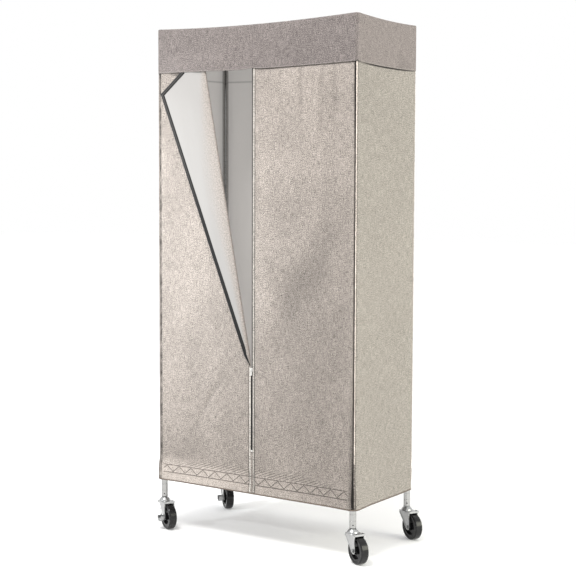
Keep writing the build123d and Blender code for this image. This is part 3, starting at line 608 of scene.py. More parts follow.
# The cover's plan: a rounded rectangle round the posts

def half_of(side):
    """From a wall's middle to its posts' middle."""
    return POST_X if side in ("front", "rear") else POST_Y


def corner_of(side):
    """From a wall's middle to the middle of its rounded corner, along the cloth."""
    return half_of(side) + WALL_RADIUS * pi / 4


def bow(side, u, power):
    """1 at a wall's middle and 0 at its posts, flatter with a higher power."""
    return 1 - np.clip(np.abs(u) / half_of(side), 0, 1) ** power


def at_ends(side, amounts):
    index = SIDES.index(side)
    return amounts[index], amounts[(index + 1) % 4]


def hem_zone(z):
    """1 at the hem, nothing from the shelf up."""
    return fade(z, 0.198, 0.245)


def shelf_zone(z):
    """1 over the bottom shelf, where the cloth is drawn in between the posts."""
    return ease(z, 0.205, 0.232) * fade(z, 0.268, 0.300)


def wall_place(side, u, z, radius, out=0.0):
    """Points of a wall. u runs along it from its middle, rightwards as seen from outside."""
    half = half_of(side)
    beside = POST_X + POST_Y - half
    u, z, out = np.broadcast_arrays(u, z, out)
    left, right = at_ends(side, HEM_DROP)
    share = np.clip((u / half + 1) / 2, 0, 1)
    drop = left * (1 - share) + right * share
    z = z - drop * fade(z, PANEL_FOOT, PANEL_FOOT + 0.06)
    straight = np.clip(u, -half, half)
    turn = (u - straight) / radius
    across = straight + (radius + out) * np.sin(turn)
    outward = beside + (radius + out) * np.cos(turn)
    x, y = {"front": (across, -outward), "rear": (-across, outward),
            "right": (outward, across), "left": (-outward, -across)}[side]
    return stacked(x, y, z)


def wall_line(side, u, z, radius, out):
    """A line on a wall, and the outward direction at each of its points."""
    spot = wall_place(side, u, z, radius, out)
    return spot, (wall_place(side, u, z, radius, out + 1 * MM) - spot) / MM


def side_places(half, reach, turns, start, stop, pitch):
    """Places along one side: close together round its corners and even between them."""
    return merged(np.linspace(-reach, -half, turns), np.arange(start - half, half - stop, pitch),
                  np.linspace(half, reach, turns))


def truss_marks(side, u, z):
    """How close each point is to a rail or zigzag wire behind it, from 0 to 1."""
    half = half_of(side)
    inside = fade(np.abs(u), half - 0.012, half - 0.004)
    rails = hump(z, RAIL_HIGH, 2.1 * MM) + hump(z, RAIL_LOW, 2.1 * MM)
    share = np.abs((u / ZIGZAG) % 2 - 1)
    snake = RAIL_LOW + 4 * MM + (RAIL_HIGH - RAIL_LOW - 8 * MM) * share
    slope = (RAIL_HIGH - RAIL_LOW) / ZIGZAG
    wire = hump((z - snake) / np.hypot(1, slope), 0, 1.5 * MM)
    wire = wire * (z > RAIL_LOW) * (z < RAIL_HIGH)
    return np.clip(rails + 0.75 * wire, 0, 1) * inside


def pleats(u, seed=0.0):
    """The two wider rhythms of the puckers under the band."""
    return np.sin(u * 2 * pi / 0.047 + seed) * 0.6, np.sin(u * 2 * pi / 0.083 + 1) * 0.5


def wall_relief(side, u, z, sizes):
    """How far the cloth stands out: shelf relief, soft waves and the pull of its seams."""
    half, front = half_of(side), side == "front"
    seed = SIDES.index(side) * 1.7
    middle = bow(side, u, 6)
    near = np.clip((np.abs(u) - half + 0.016) / 0.016, 0, 1)
    out = -2.3 * MM * shelf_zone(z) * middle * (1 if front else 0.4)
    out = out + 1.4 * MM * truss_marks(side, u, z) * front
    out = out + 2.6 * MM * near * ease(z, 0.226, 0.236) * fade(z, 0.270, 0.284)
    out = out + 2.0 * MM * hem_zone(z)
    left, right = at_ends(side, HEM_FLARE)
    flare = left * fade(u, -half, 0.11 - half) + right * ease(u, half - 0.11, half)
    out = out + flare * fade(z, 0.198, 0.34) ** 1.5
    top = ease(z, BAND_FOOT - 0.30, BAND_FOOT - 0.02)
    first, third = pleats(u, seed)
    pucker = first + np.sin(u * 2 * pi / 0.029 + 2 * seed) * 0.25 + third
    strength = (0.7 + 1.0 * np.clip(u / half, 0, 1)) if front else 0.35
    out = out + (2.0 if front else 1.0) * MM * top * pucker * middle * strength
    slow = (np.sin(u * 7.1 + z * 3.3 + seed) * 0.9 + np.sin(u * 13.7 - z * 5.1 + 2.1 * seed) * 0.55
            + np.sin(z * 8.3 + u * 2.9 + seed) * 0.6 + np.sin(z * 15.1 - u * 6.3 + 3 * seed) * 0.35)
    calm = ease(z, 0.30, 0.40) * (1 - 0.7 * ease(z, 1.75, BAND_FOOT))
    out = out + sizes.wave * slow * middle * calm * (1 if front else 0.45)
    under = ease(z, BAND_FOOT - 0.028, BAND_FOOT - 0.006)
    return out * (1 - under) - 0.5 * MM * under


def band_sag(side, u):
    """How far the band's lower edge hangs down between the corners."""
    deep = 5.5 * MM if side in ("front", "rear") else 4 * MM
    return deep * bow(side, u, 2) - 3.2 * MM * hump(u, 0, 0.03) * (side == "front")


def band_out(side, u, z):
    """Bulge of the band over the folded corner, and its soft waves."""
    low = fade(z, BAND_FOOT + 0.01, BAND_FOOT + 0.085)
    seed = SIDES.index(side) * 2.3
    calm = bow(side, u, 8)
    waves = np.sin(u * 17 + seed) * 0.7 + np.sin(u * 41 + z * 9 + seed) * 0.5
    out = 0.9 * MM * calm * waves * fade(z, BAND_FOOT + 0.11, BAND_FOOT + 0.17)
    if side == "front":
        lump = ease(u, -0.415, -0.345) * fade(u, -0.165, -0.105)
        out = out * (1 - lump) + 13.8 * MM * lump * low + 1.2 * MM * hump(u, 0, 0.02) * low
    if side in ("left", "right"):
        out = out - 1.5 * MM * low * calm
    return out


def roof_height(x, y):
    along = 1 - (x / (POST_X + BAND_RADIUS)) ** 2
    across = 1 - (y / (POST_Y + BAND_RADIUS)) ** 2
    return ROOF_CORNER - 0.6 * MM - 12 * MM * along - 6 * MM * across


def seam_dip(distance, depth=1.7 * MM):
    """The groove that a line of stitching pulls into the cloth."""
    return -depth * hump(distance, 0, 2.6 * MM)


def slit_seam(u, lifted=0.0):
    """The seam beside the slit: its groove and its shadow."""
    distance = np.abs(np.abs(u) - SLIT - WELT_OFFSET) + lifted
    return seam_dip(distance, 0.9 * MM), 0.97 * hump(distance, 0, 2.4 * MM)


def broad_fold(u, z):
    """The one wide diagonal fold of the right front cloth, from 0 to 1."""
    off = ((z - 1.055) - 1.66 * (u - 0.257)) / 1.94
    return hump(off, 0, 0.078) * hump(z, 1.08, 0.27) * ease(u, 0.03, 0.12)


def wall_grid(side, low_u, high_u, rows, sizes, columns=None, slit=False):
    """Mid-surface, map and marks of one wall between two places along it."""
    u = graded(low_u, high_u, 0.9 * MM, 6.5 * MM) if columns is None else columns
    u, z = np.meshgrid(u, rows)
    front = side == "front"
    out = wall_relief(side, u, z, sizes)
    to_corner = corner_of(side) - np.abs(u)
    groove = to_corner - sizes.welt * 0.5
    out = out + seam_dip(groove) * (z < BAND_FOOT + 0.01)
    if front:
        # Painted shadow in the groove of the front right corner seam, stronger high up and low
        # down.
        shade_strength = 1.05 + 0.35 * ease(z, 1.3, 1.8) + 0.35 * fade(z, 0.35, 0.8)
        width = 3.4 * MM + 2.2 * MM * fade(z, 0.22, 0.42) + 1.4 * MM * ease(z, 1.45, 1.80)
        shadow = hump(groove, 0.9 * MM, width) * 1.45 * shade_strength
        # Painted shade near the front right corner, low down, and along the wide diagonal fold.
        corner_shade = fade(to_corner, 4 * MM, 30 * MM) * fade(z, 0.28, 0.80) * (u > 0)
        shadow = np.maximum(np.maximum(shadow, 0.6 * corner_shade), 0.24 * broad_fold(u, z))
        # Painted shade in the hollows of the puckers under the band.
        pucker_shade = np.clip(-sum(pleats(u)), 0, 1) * ease(z, 1.50, 1.74) * ease(u, 0.05, 0.25)
        shadow = np.maximum(shadow, 0.16 * pucker_shade)
        out = out - 3.0 * MM * broad_fold(u, z)
    else:
        shadow = 0.75 * hump(groove, 0, 2.0 * MM)
    # Painted shadow under the band's lower edge, strongest in the middle of the right wall.
    under_band = hump(z, BAND_FOOT - band_sag(side, u) - 1.6 * MM, 3.0 * MM)
    depth = 0.4 + 1.3 * bow(side, u, 2) if side == "right" else 0.7
    shadow = np.maximum(shadow, under_band * depth)
    if slit:
        still = fade(np.abs(u), 0.02, 0.09)
        dip, dark = slit_seam(u)
        out = out * (1 - still * ease(z, 0.30, 0.34)) + dip
        shadow = np.maximum(shadow, dark)
    points = wall_place(side, u, z, WALL_RADIUS - sizes.cloth / 2, out)
    marks = {"shadow": shadow}
    if front:
        # Painted light above the hem, less towards the right.
        marks["glow"] = (0.5 - 0.35 * ease(u, 0.05, 0.35)) * fade(z, 0.262, 0.31)
    return points, stacked(u, z), marks


def wall_rows(top):
    """Heights of a wall's points: close together at the hem, the shelf, the band and the top."""
    return merged(graded(PANEL_FOOT, 0.225, 1.5 * MM, 4 * MM, 0.01),
                  np.arange(0.225, 0.312, 2.6 * MM), np.arange(0.315, top - 0.02, 9.5 * MM),
                  graded(top - 0.02, top, 2 * MM, 5 * MM, 0.01),
                  np.arange(BAND_FOOT - 0.016, min(BAND_FOOT + 0.002, top), 1.6 * MM))


# The folded corner

def fold_x(z):
    return FOLD_PLACE[0] + (z - FOLD_PLACE[2]) * FOLD_LEAN


def fold_depth(z):
    """Depth from the panel's cloth to the flap's: nothing at the foot of the fold."""
    return 2 * (-FOLD_PLACE[1] - WALL_MID) * ease(z, FOLD_FOOT, FOLD_FOOT + 0.055)


def to_folded(points):
    """Where a point of the closed flap is while the flap is folded open."""
    return (points - FOLD_PLACE) @ FOLDED.T + FOLD_PLACE


def top_rise(share):
    """How far the flap's top edge runs up under the band, along its share from fold to zip."""
    return np.interp(share, [0, 0.37, 1], [0.010, 0.043, 0.0])


def top_lift(z_base):
    return ease(z_base, 1.56, FOLD_PLACE[2])


def flap_closed(share, z_base):
    """Points of the closed flap and their distance from the fold, by share and base height."""
    lift = top_lift(z_base)
    z_fold = z_base + top_rise(0) * lift
    x = fold_x(z_fold) + share * (-SLIT - fold_x(z_fold))
    z = z_base + top_rise(share) * lift
    off = (x - fold_x(z)) * FOLD_ACROSS[0]
    soft = 3.1 * MM * ease(z, 0.74, 0.95)
    depth = fold_depth(z_base) - soft * np.exp(-off / (9 * MM + 10 * MM * hump(z, 1.42, 0.22)))
    tight = ease(z, 1.745, 1.83) * fade(off, 0.03, 0.06)
    under_band = 11.2 * MM
    depth = depth - np.maximum(0, depth - under_band) * tight
    edge = ease(off, 0, 0.02) * fade(share, 0.80, 0.97)
    depth = depth + 1.0 * MM * edge * (np.sin(off * 92 + 0.8) + 0.5 * np.sin(off * 41 - z * 6)) * (
        ease(z, 0.9, 1.2) * fade(z, 1.70, 1.80))
    y = -(2 * -FOLD_PLACE[1] - WALL_MID - depth)
    return stacked(x, y, z), off


def left_front_grid():
    """The left front cloth beside its fold: roll over the fold, and folded flap."""
    shares = graded(0, 1, 0.006, 0.045, 0.12)
    rows = merged(np.arange(FOLD_FOOT, 0.76, 3 * MM), np.arange(0.76, 1.80, 9 * MM),
                  np.linspace(1.80, FOLD_PLACE[2], 8))
    closed, off = flap_closed(*np.meshgrid(shares, rows))
    flap = to_folded(closed)
    z_fold = rows + top_rise(0) * top_lift(rows)
    turns = np.linspace(0, pi, 15)
    end_depth = (-flap[:, 0, 1] - WALL_MID)[:, None]
    start = stacked(fold_x(z_fold), -WALL_MID, z_fold)
    roll = (start[:, None] + FOLD_ACROSS * (end_depth * ROLL_SPREAD * np.sin(turns))[..., None]
            + np.array([0, -1, 0]) * (end_depth * (1 - np.cos(turns)) / 2)[..., None])
    settle = (flap[:, :1] - roll[:, -1:]) * (turns / pi)[None, :, None] ** 2
    return rows, z_fold, off, roll + settle, flap, closed


def flap_edge(offset):
    """The flap's free edge, closed, moved outwards by offset: up the zip, then along the top."""
    rise = np.arange(FOLD_FOOT + 0.006, FOLD_PLACE[2], 12 * MM)
    inner = offset
    if offset < 0:
        room, full = -SLIT - fold_x(rise) - 1.5 * MM, 12.5 * MM
        inner = offset * np.clip(room / full, 0.02, 1)
    side = stacked(-SLIT + inner, rise)
    corner = np.array([[-SLIT + offset, FOLD_PLACE[2] + offset * 1.12]])
    top, _ = flap_closed(EDGE_SHARES, np.full_like(EDGE_SHARES, FOLD_PLACE[2]))
    return np.concatenate([side, corner, top[:, [0, 2]] + EDGE_OUT * offset])


def edge_line(offset, lift):
    """A line beside the flap's free edge, closed, moved inwards from its cloth by lift."""
    places, near = flap_edge(offset), flap_edge(min(offset, -1.0 * MM))
    shares = (near[:, 0] - fold_x(near[:, 1])) / (-SLIT - fold_x(near[:, 1]))
    surface, _ = flap_closed(np.clip(shares, 0, 1), np.minimum(near[:, 1], FOLD_PLACE[2]))
    return stacked(places[:, 0], surface[:, 1] + lift, places[:, 1])


def flap_ribbon(name, inner, outer, lift, thickness, finish, edge_shade=0.0):
    """A strip of tape along the flap's free edge, on the lining side."""
    offsets = np.linspace(inner, outer, 7)
    grid = to_folded(np.stack([edge_line(offset, lift) for offset in offsets], axis=1))
    uv = stacked(offsets[None], running(grid[:, 0])[:, None])
    # Painted seam shadow on the tape's three inner columns, and over the whole ribbon lower down.
    dark = edge_shade * (np.arange(7) < 2.5)
    low = edge_shade * fade(flap_edge(0.0)[:, 1], 1.25, 1.6)
    mark = np.maximum(np.broadcast_to(dark, grid.shape[:2]), low[:, None]).astype(float)
    return sewn(name, grid, thickness, uv, [finish] * 2, {"shadow": mark})


# Repeats made with geometry nodes

def repeat_tree(name):
    """Places a small part along every line of a mesh, at an even pitch, facing along it."""
    tree = bpy.data.node_groups.new(name, "GeometryNodeTree")
    face = tree.interface
    face.new_socket("Lines", in_out="INPUT", socket_type="NodeSocketGeometry")
    for label, default in (("Pitch", 3.6 * MM), ("Length", 2.4 * MM), ("Width", 0.8 * MM),
                           ("Height", 0.6 * MM)):
        socket = face.new_socket(label, in_out="INPUT", socket_type="NodeSocketFloat")
        socket.default_value = default
        socket.subtype = "DISTANCE"
    face.new_socket("Finish", in_out="INPUT", socket_type="NodeSocketMaterial")
    face.new_socket("Parts", in_out="OUTPUT", socket_type="NodeSocketGeometry")

    def add(kind, sockets=None, **settings):
        node = tree.nodes.new(kind)
        for key, setting in settings.items():
            setattr(node, key, setting)
        for key, value in (sockets or {}).items():
            if isinstance(value, bpy.types.NodeSocket):
                tree.links.new(value, node.inputs[key])
            else:
                node.inputs[key].default_value = value
        return node.outputs[0] if len(node.outputs) == 1 else node.outputs

    given = add("NodeGroupInput")
    curve = add("GeometryNodeMeshToCurve", {0: given["Lines"]})
    even = add("GeometryNodeResampleCurve", {"Curve": curve, "Length": given["Pitch"]},
               mode="LENGTH")
    size = add("ShaderNodeCombineXYZ",
               {0: given["Length"], 1: given["Width"], 2: given["Height"]})
    block = add("GeometryNodeMeshCube", {"Size": size})[0]
    soft = add("GeometryNodeSubdivisionSurface", {"Mesh": block, "Level": 1, "Edge Crease": 0.45})
    turned = add("FunctionNodeAlignRotationToVector",
                 {"Vector": add("GeometryNodeInputTangent")}, axis="X")
    spots = add("GeometryNodeInstanceOnPoints",
                {"Points": even, "Instance": soft, "Rotation": turned})
    real = add("GeometryNodeRealizeInstances", {0: spots})
    smooth = add("GeometryNodeSetShadeSmooth", {"Geometry": real})
    done = add("GeometryNodeSetMaterial", {"Geometry": smooth, "Material": given["Finish"]})
    tree.links.new(done, tree.nodes.new("NodeGroupOutput").inputs[0])
    return tree


def repeated(name, tree, lines, finish, body, slot, nodes=(), **sizes):
    """Runs a repeat tree along lines of points and keeps the plain mesh as a piece."""
    edges, start = [], 0
    for line in lines:
        edges += [(start + i, start + i + 1) for i in range(len(line) - 1)]
        start += len(line)
    mesh = bpy.data.meshes.new(name)
    mesh.from_pydata([tuple(p) for p in np.concatenate(lines)], edges, [])
    carrier = linked(name + "_line", mesh)
    modifier = carrier.modifiers.new("Repeat", "NODES")
    modifier.node_group = tree
    sockets = {item.name: item.identifier for item in tree.interface.items_tree
               if item.in_out == "INPUT"}
    for key, value in dict(sizes, Finish=finishes[finish]).items():
        modifier[sockets[key]] = value
    bpy.context.view_layer.update()
    graph = bpy.context.evaluated_depsgraph_get()
    made = bpy.data.meshes.new_from_object(carrier.evaluated_get(graph))
    bpy.data.objects.remove(carrier)
    made.name = name
    if not made.materials:
        made.materials.append(finishes[finish])
    placed(linked(name, made), body, slot, *nodes)


# Operators

class Step(bpy.types.Operator):
    """One piece of the work; each step adds its objects to the scene."""
    bl_options = {"REGISTER", "UNDO"}


class RACK_OT_finish_metal(Step):
    """Give every rigid part of the frame its plating, rubber or plastic"""
    bl_idname = "rack.finish_metal"
    bl_label = "Finish metal and wheels"

    def execute(self, context):
        make_finishes(context.scene.rack_colours)
        wanted = {
            "post_": "chrome", "bottom_shelf": "chrome", "top_shelf": "chrome", "hang_rod": "rod",
            "rod_brackets": "chrome", "rod_end_caps": "plastic", "post_caps": "plastic",
            "post_inserts": "plastic", "fork_": "zinc", "axle_": "bolt", "brake_": "zinc",
            "caster_stems": "bolt", "caster_raceways": "zinc", "wheel_": "core", "tyre_": "tread",
            "zip_stop": "nickel", "zip_slider": "nickel", "zip_pull": "nickel",
        }
        for name, node in frame["nodes"].items():
            keys = [key for key in wanted if name.startswith(key)]
            if keys:
                finish = wanted[max(keys, key=len)]
                for slot in node.material_slots:
                    slot.material = finishes["plastic" if name.endswith("sleeves") else finish]
        return {"FINISHED"}


class RACK_OT_sew_walls(Step):
    """Make the back, the two sides and the right half of the front"""
    bl_idname = "rack.sew_walls"
    bl_label = "Sew the walls"

    def execute(self, context):
        sizes = context.scene.rack_sizes
        rows = wall_rows(PANEL_TOP)
        half = corner_of("front")
        columns = merged(np.array([SLIT, SLIT + 1 * MM, SLIT + 2.2 * MM]),
                         np.arange(SLIT + 3.4 * MM, 0.019, 0.9 * MM),
                         graded(0.019, half, 1.0 * MM, 6 * MM))
        walls = [(f"{side}_wall", side, node, ("wall", "inside"), -corner_of(side), None)
                 for side, node in (("right", "right_side_panel"), ("left", "left_side_panel"),
                                    ("rear", "back_panel"))]
        walls.append(("right_front", "front", "front_right_panel", ("front", "lining"), SLIT,
                      columns))
        for name, side, node, cloths, low, places in walls:
            high = corner_of(side)
            points, uv, marks = wall_grid(side, low, high, rows, sizes, places, side == "front")
            as_cloth(sewn(name, points, sizes.cloth, uv, cloths, marks), [node],
                     (high - low, PANEL_TOP - PANEL_FOOT))
        return {"FINISHED"}


class RACK_OT_fold_corner(Step):
    """Make the left half of the front, its soft roll over the fold and the folded flap"""
    bl_idname = "rack.fold_corner"
    bl_label = "Fold the left corner"

    def execute(self, context):
        sizes = context.scene.rack_sizes
        rows, z_fold, off, roll, flap, closed = left_front_grid()
        self.panel(z_fold, sizes)
        self.fold(rows, off, roll, flap, closed, sizes)
        return {"FINISHED"}

    def panel(self, z_fold, sizes):
        half = corner_of("front")
        cloths = ("front", "lining")
        shelf_rows = wall_rows(FOLD_FOOT)[:-1]
        heights = np.concatenate([shelf_rows, z_fold])
        edge = np.concatenate([np.full(len(shelf_rows), -SLIT), fold_x(z_fold)])
        left = -half + (edge[:, None] + half) * graded(0, 1, 0.0021, 0.0145, 0.05)[None]
        z = np.broadcast_to(heights[:, None], left.shape)
        to_edge = edge[:, None] - left
        out = wall_relief("front", left, z, sizes)
        out = out * (1 - fade(to_edge, 0.004, 0.075) * ease(z, 0.30, 0.34))
        out = out - np.maximum(out, 0) * ease(z, FOLD_FOOT, 0.80) * fade(to_edge, 0.10, 0.40)
        out = out + seam_dip(left + half - sizes.welt * 0.5)
        # Painted shade along the front left corner, where the cloth turns away, uneven up its
        # height.
        uneven = 0.85 + 0.3 * np.sin(z * 61) * np.sin(z * 23) + 0.15 * np.sin(z * 190)
        shadow = np.maximum(hump(left, -POST_X - 0.5 * MM, 2.8 * MM) * uneven * 1.15,
                            0.50 * uneven * fade(left, -POST_X - 2 * MM, -POST_X))
        crease = hump(left - (z - 0.72) * 0.55, -0.115, 0.012) * hump(z, 0.56, 0.09)
        crease += 0.7 * hump(left - (z - 0.72) * 0.75, -0.075, 0.010) * hump(z, 0.60, 0.07)
        dip, dark = slit_seam(left, 1.0 * (z > FOLD_FOOT))
        out = out - 4.6 * MM * crease + dip
        # Painted shade in the creases and beside the slit seam.
        shadow = np.maximum(np.maximum(shadow, 0.16 * np.clip(crease, 0, 1)), dark)
        panel = wall_place("front", left, z, WALL_RADIUS - sizes.cloth / 2, out)
        # Painted light above the hem, stronger on the left.
        glow = (1.0 - 0.4 * ease(left, -0.2, 0)) * fade(z, 0.262, 0.31)
        parts = [sewn("left_front_low", panel, sizes.cloth, stacked(left, z), cloths,
                      {"shadow": shadow, "glow": glow})]
        above = merged(np.arange(z_fold[-1] + 0.4 * MM, PANEL_TOP, 12 * MM), np.array([PANEL_TOP]))
        joint = FOLD_PLACE[0] + 1 * MM
        for low_u, high_u, foot in ((-half, joint, above[0]),
                                    (joint, -SLIT, FOLD_PLACE[2] + 50 * MM)):
            upper, uv, marks = wall_grid("front", low_u, high_u,
                                         merged([foot], above[above > foot]), sizes)
            parts.append(sewn("left_front_head", upper, sizes.cloth, uv, cloths, marks))
        area = float(np.trapz(edge + half, heights)) + (half - SLIT) * (PANEL_TOP - z_fold[-1])
        as_cloth(joined("left_front", parts), ["front_left_panel"],
                 (half - SLIT, PANEL_TOP - PANEL_FOOT), area=area)

    def fold(self, rows, off, roll, flap, closed, sizes):
        grid = np.concatenate([roll, flap[:, 1:]], axis=1)
        normals, quads = facing(grid), grid_quads(*grid.shape[:2])
        turns = roll.shape[1]
        along = np.broadcast_to(closed[:, :1, 2], (len(rows), turns - 1))
        arc = np.linspace(-0.022, 0, turns)[None, :-1] + closed[:, :1, 0]
        uv = stacked(np.concatenate([arc, closed[..., 0]], axis=1),
                     np.concatenate([along, closed[..., 2]], axis=1))
        width = np.interp(closed[..., 2], [0.75, 0.95, 1.13, 1.33, 1.50, 1.70, 1.83],
                          np.array([6, 20, 50, 84, 90, 56, 22]) * MM)
        thin = 0.85 * fade(off, 0.06 * width, width)
        marks = {"thin": np.concatenate([np.ones_like(arc), thin], axis=1)}
        soft = np.zeros(quads.shape[:2], bool)
        soft[:, :turns - 1] = True
        soft[:np.searchsorted(rows, SOFT_FOOT)] = True
        rolled, rigid = (cloth_shell(name, grid, normals, sizes.cloth, uv, quads[mask],
                                     ("front", "lining"), marks)
                         for name, mask in (("fold_roll", soft), ("flap_cloth", ~soft)))
        triangle = (FOLD_PLACE[2] - FOLD_FOOT) * (-SLIT - FOLD_PLACE[0]) / 2
        as_cloth(rigid, ["flap"], FLAP_FLAT, "flap", triangle * FLAP_SPARE)
        as_cloth(rolled, [], ROLL_FLAT, None, ROLL_AREA)
        -WALL_MID - 1.1 * MM
        -WALL_MID - 10.0 * MM
        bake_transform(rolled)


class RACK_OT_sew_top(Step):
    """Make the band round the top and the sagging roof"""
    bl_idname = "rack.sew_top"
    bl_label = "Sew the band and roof"

    def execute(self, context):
        sizes = context.scene.rack_sizes
        self.band(sizes, BAND_RADIUS - sizes.cloth / 2)
        self.roof(sizes, BAND_RADIUS - sizes.cloth / 2 - 4 * MM)
        return {"FINISHED"}

    def band(self, sizes, radius):
        heights = np.concatenate([[0, 1.2, 2.6, 4.5, 7], np.arange(11, 165, 7.5), [170]]) * MM
        columns = []
        fillet = 4 * MM
        turns = np.linspace(0, pi / 2, 6)[1:]
        for side in SIDES:
            half = half_of(side)
            for u in side_places(half, half + BAND_RADIUS * pi / 4, 7, 2 * MM, 2 * MM, 8 * MM)[:-1]:
                spot = wall_place(side, u, 0.0, radius)
                top = roof_height(spot[0], spot[1]) - fillet
                foot = BAND_FOOT - float(band_sag(side, u))
                z = foot + heights * (top - foot) / heights[-1]
                line = wall_place(side, u, z, radius, band_out(side, u, z))
                bend = wall_place(side, u, top + fillet * np.sin(turns), radius,
                                  -fillet * (1 - np.cos(turns)))
                columns.append(np.concatenate([line, bend]))
        grid = np.stack(columns, axis=1)
        steps = np.linalg.norm(np.diff(grid[:, :, :2], axis=1, append=grid[:, :1, :2])[0], axis=1)
        lengths = np.concatenate([[0], np.cumsum(steps)[:-1]])
        normals = facing(np.concatenate([grid[:, -1:], grid, grid[:, :1]], axis=1))[:, 1:-1]
        uv = stacked(lengths, grid[..., 2])
        x, y, z = np.moveaxis(grid, -1, 0)
        # Painted shadow at the band's front right corner just above its lower edge, and painted
        # light on its right side.
        corner = hump(np.hypot(x - POST_X - 14 * MM, y + POST_Y + 14 * MM), 0, 9 * MM)
        marks = {"shadow": 0.9 * corner * fade(z, BAND_FOOT + 2 * MM, BAND_FOOT + 8 * MM),
                 "glow": ease(x, POST_X + 12 * MM, POST_X + 18 * MM)}
        thing = cloth_shell("band_cloth", grid, normals, sizes.cloth, uv,
                            grid_quads(*grid.shape[:2], wrap=True), ("band", "facing"), marks)
        as_cloth(thing, ["band_front", "band_rear", "band_left", "band_right"],
                 (float(steps.sum()), float(z.max() - BAND_FOOT) + 6 * MM),
                 slot="band_cloth")

    def roof(self, sizes, rim):
        x, y = np.meshgrid(*(side_places(post, post + rim, 6, 6 * MM, 5 * MM, 12 * MM)
                             for post in (POST_X, POST_Y)))
        over_x = np.sign(x) * np.maximum(np.abs(x) - POST_X, 0) / rim
        over_y = np.sign(y) * np.maximum(np.abs(y) - POST_Y, 0) / rim
        px = np.clip(x, -POST_X, POST_X) + rim * over_x * np.sqrt(1 - over_y ** 2 / 2)
        py = np.clip(y, -POST_Y, POST_Y) + rim * over_y * np.sqrt(1 - over_x ** 2 / 2)
        half_long, half_wide = 0.467, 0.228
        inner = (1 - (px / half_long) ** 2) * (1 - (py / half_wide) ** 2)
        ridge = np.zeros_like(px)
        for sx in (-1, 1):
            for sy in (-1, 1):
                away = np.hypot(px - sx * POST_X, py - sy * POST_Y)
                turn = np.arctan2(np.abs(py - sy * POST_Y), np.abs(px - sx * POST_X))
                ridge += 1.3 * MM * np.cos(turn * 16 + sx + sy) * hump(away, 0.07, 0.06)
                ridge += 0.9 * MM * hump(away, 0, 0.016)
        dent = 2.0 * MM * inner * (0.5 + 0.5 * np.sin(px * 9) * np.cos(py * 12))
        z = roof_height(px, py) + (ridge - dent) * np.clip(inner * 6, 0, 1)
        thing = sewn("roof_cloth", stacked(px, py, z), sizes.cloth, stacked(px, py),
                     ("roof", "facing"))
        as_cloth(thing, ["cover_roof"], (2 * (POST_X + rim), 2 * (POST_Y + rim)),
                 slot="band_cloth")


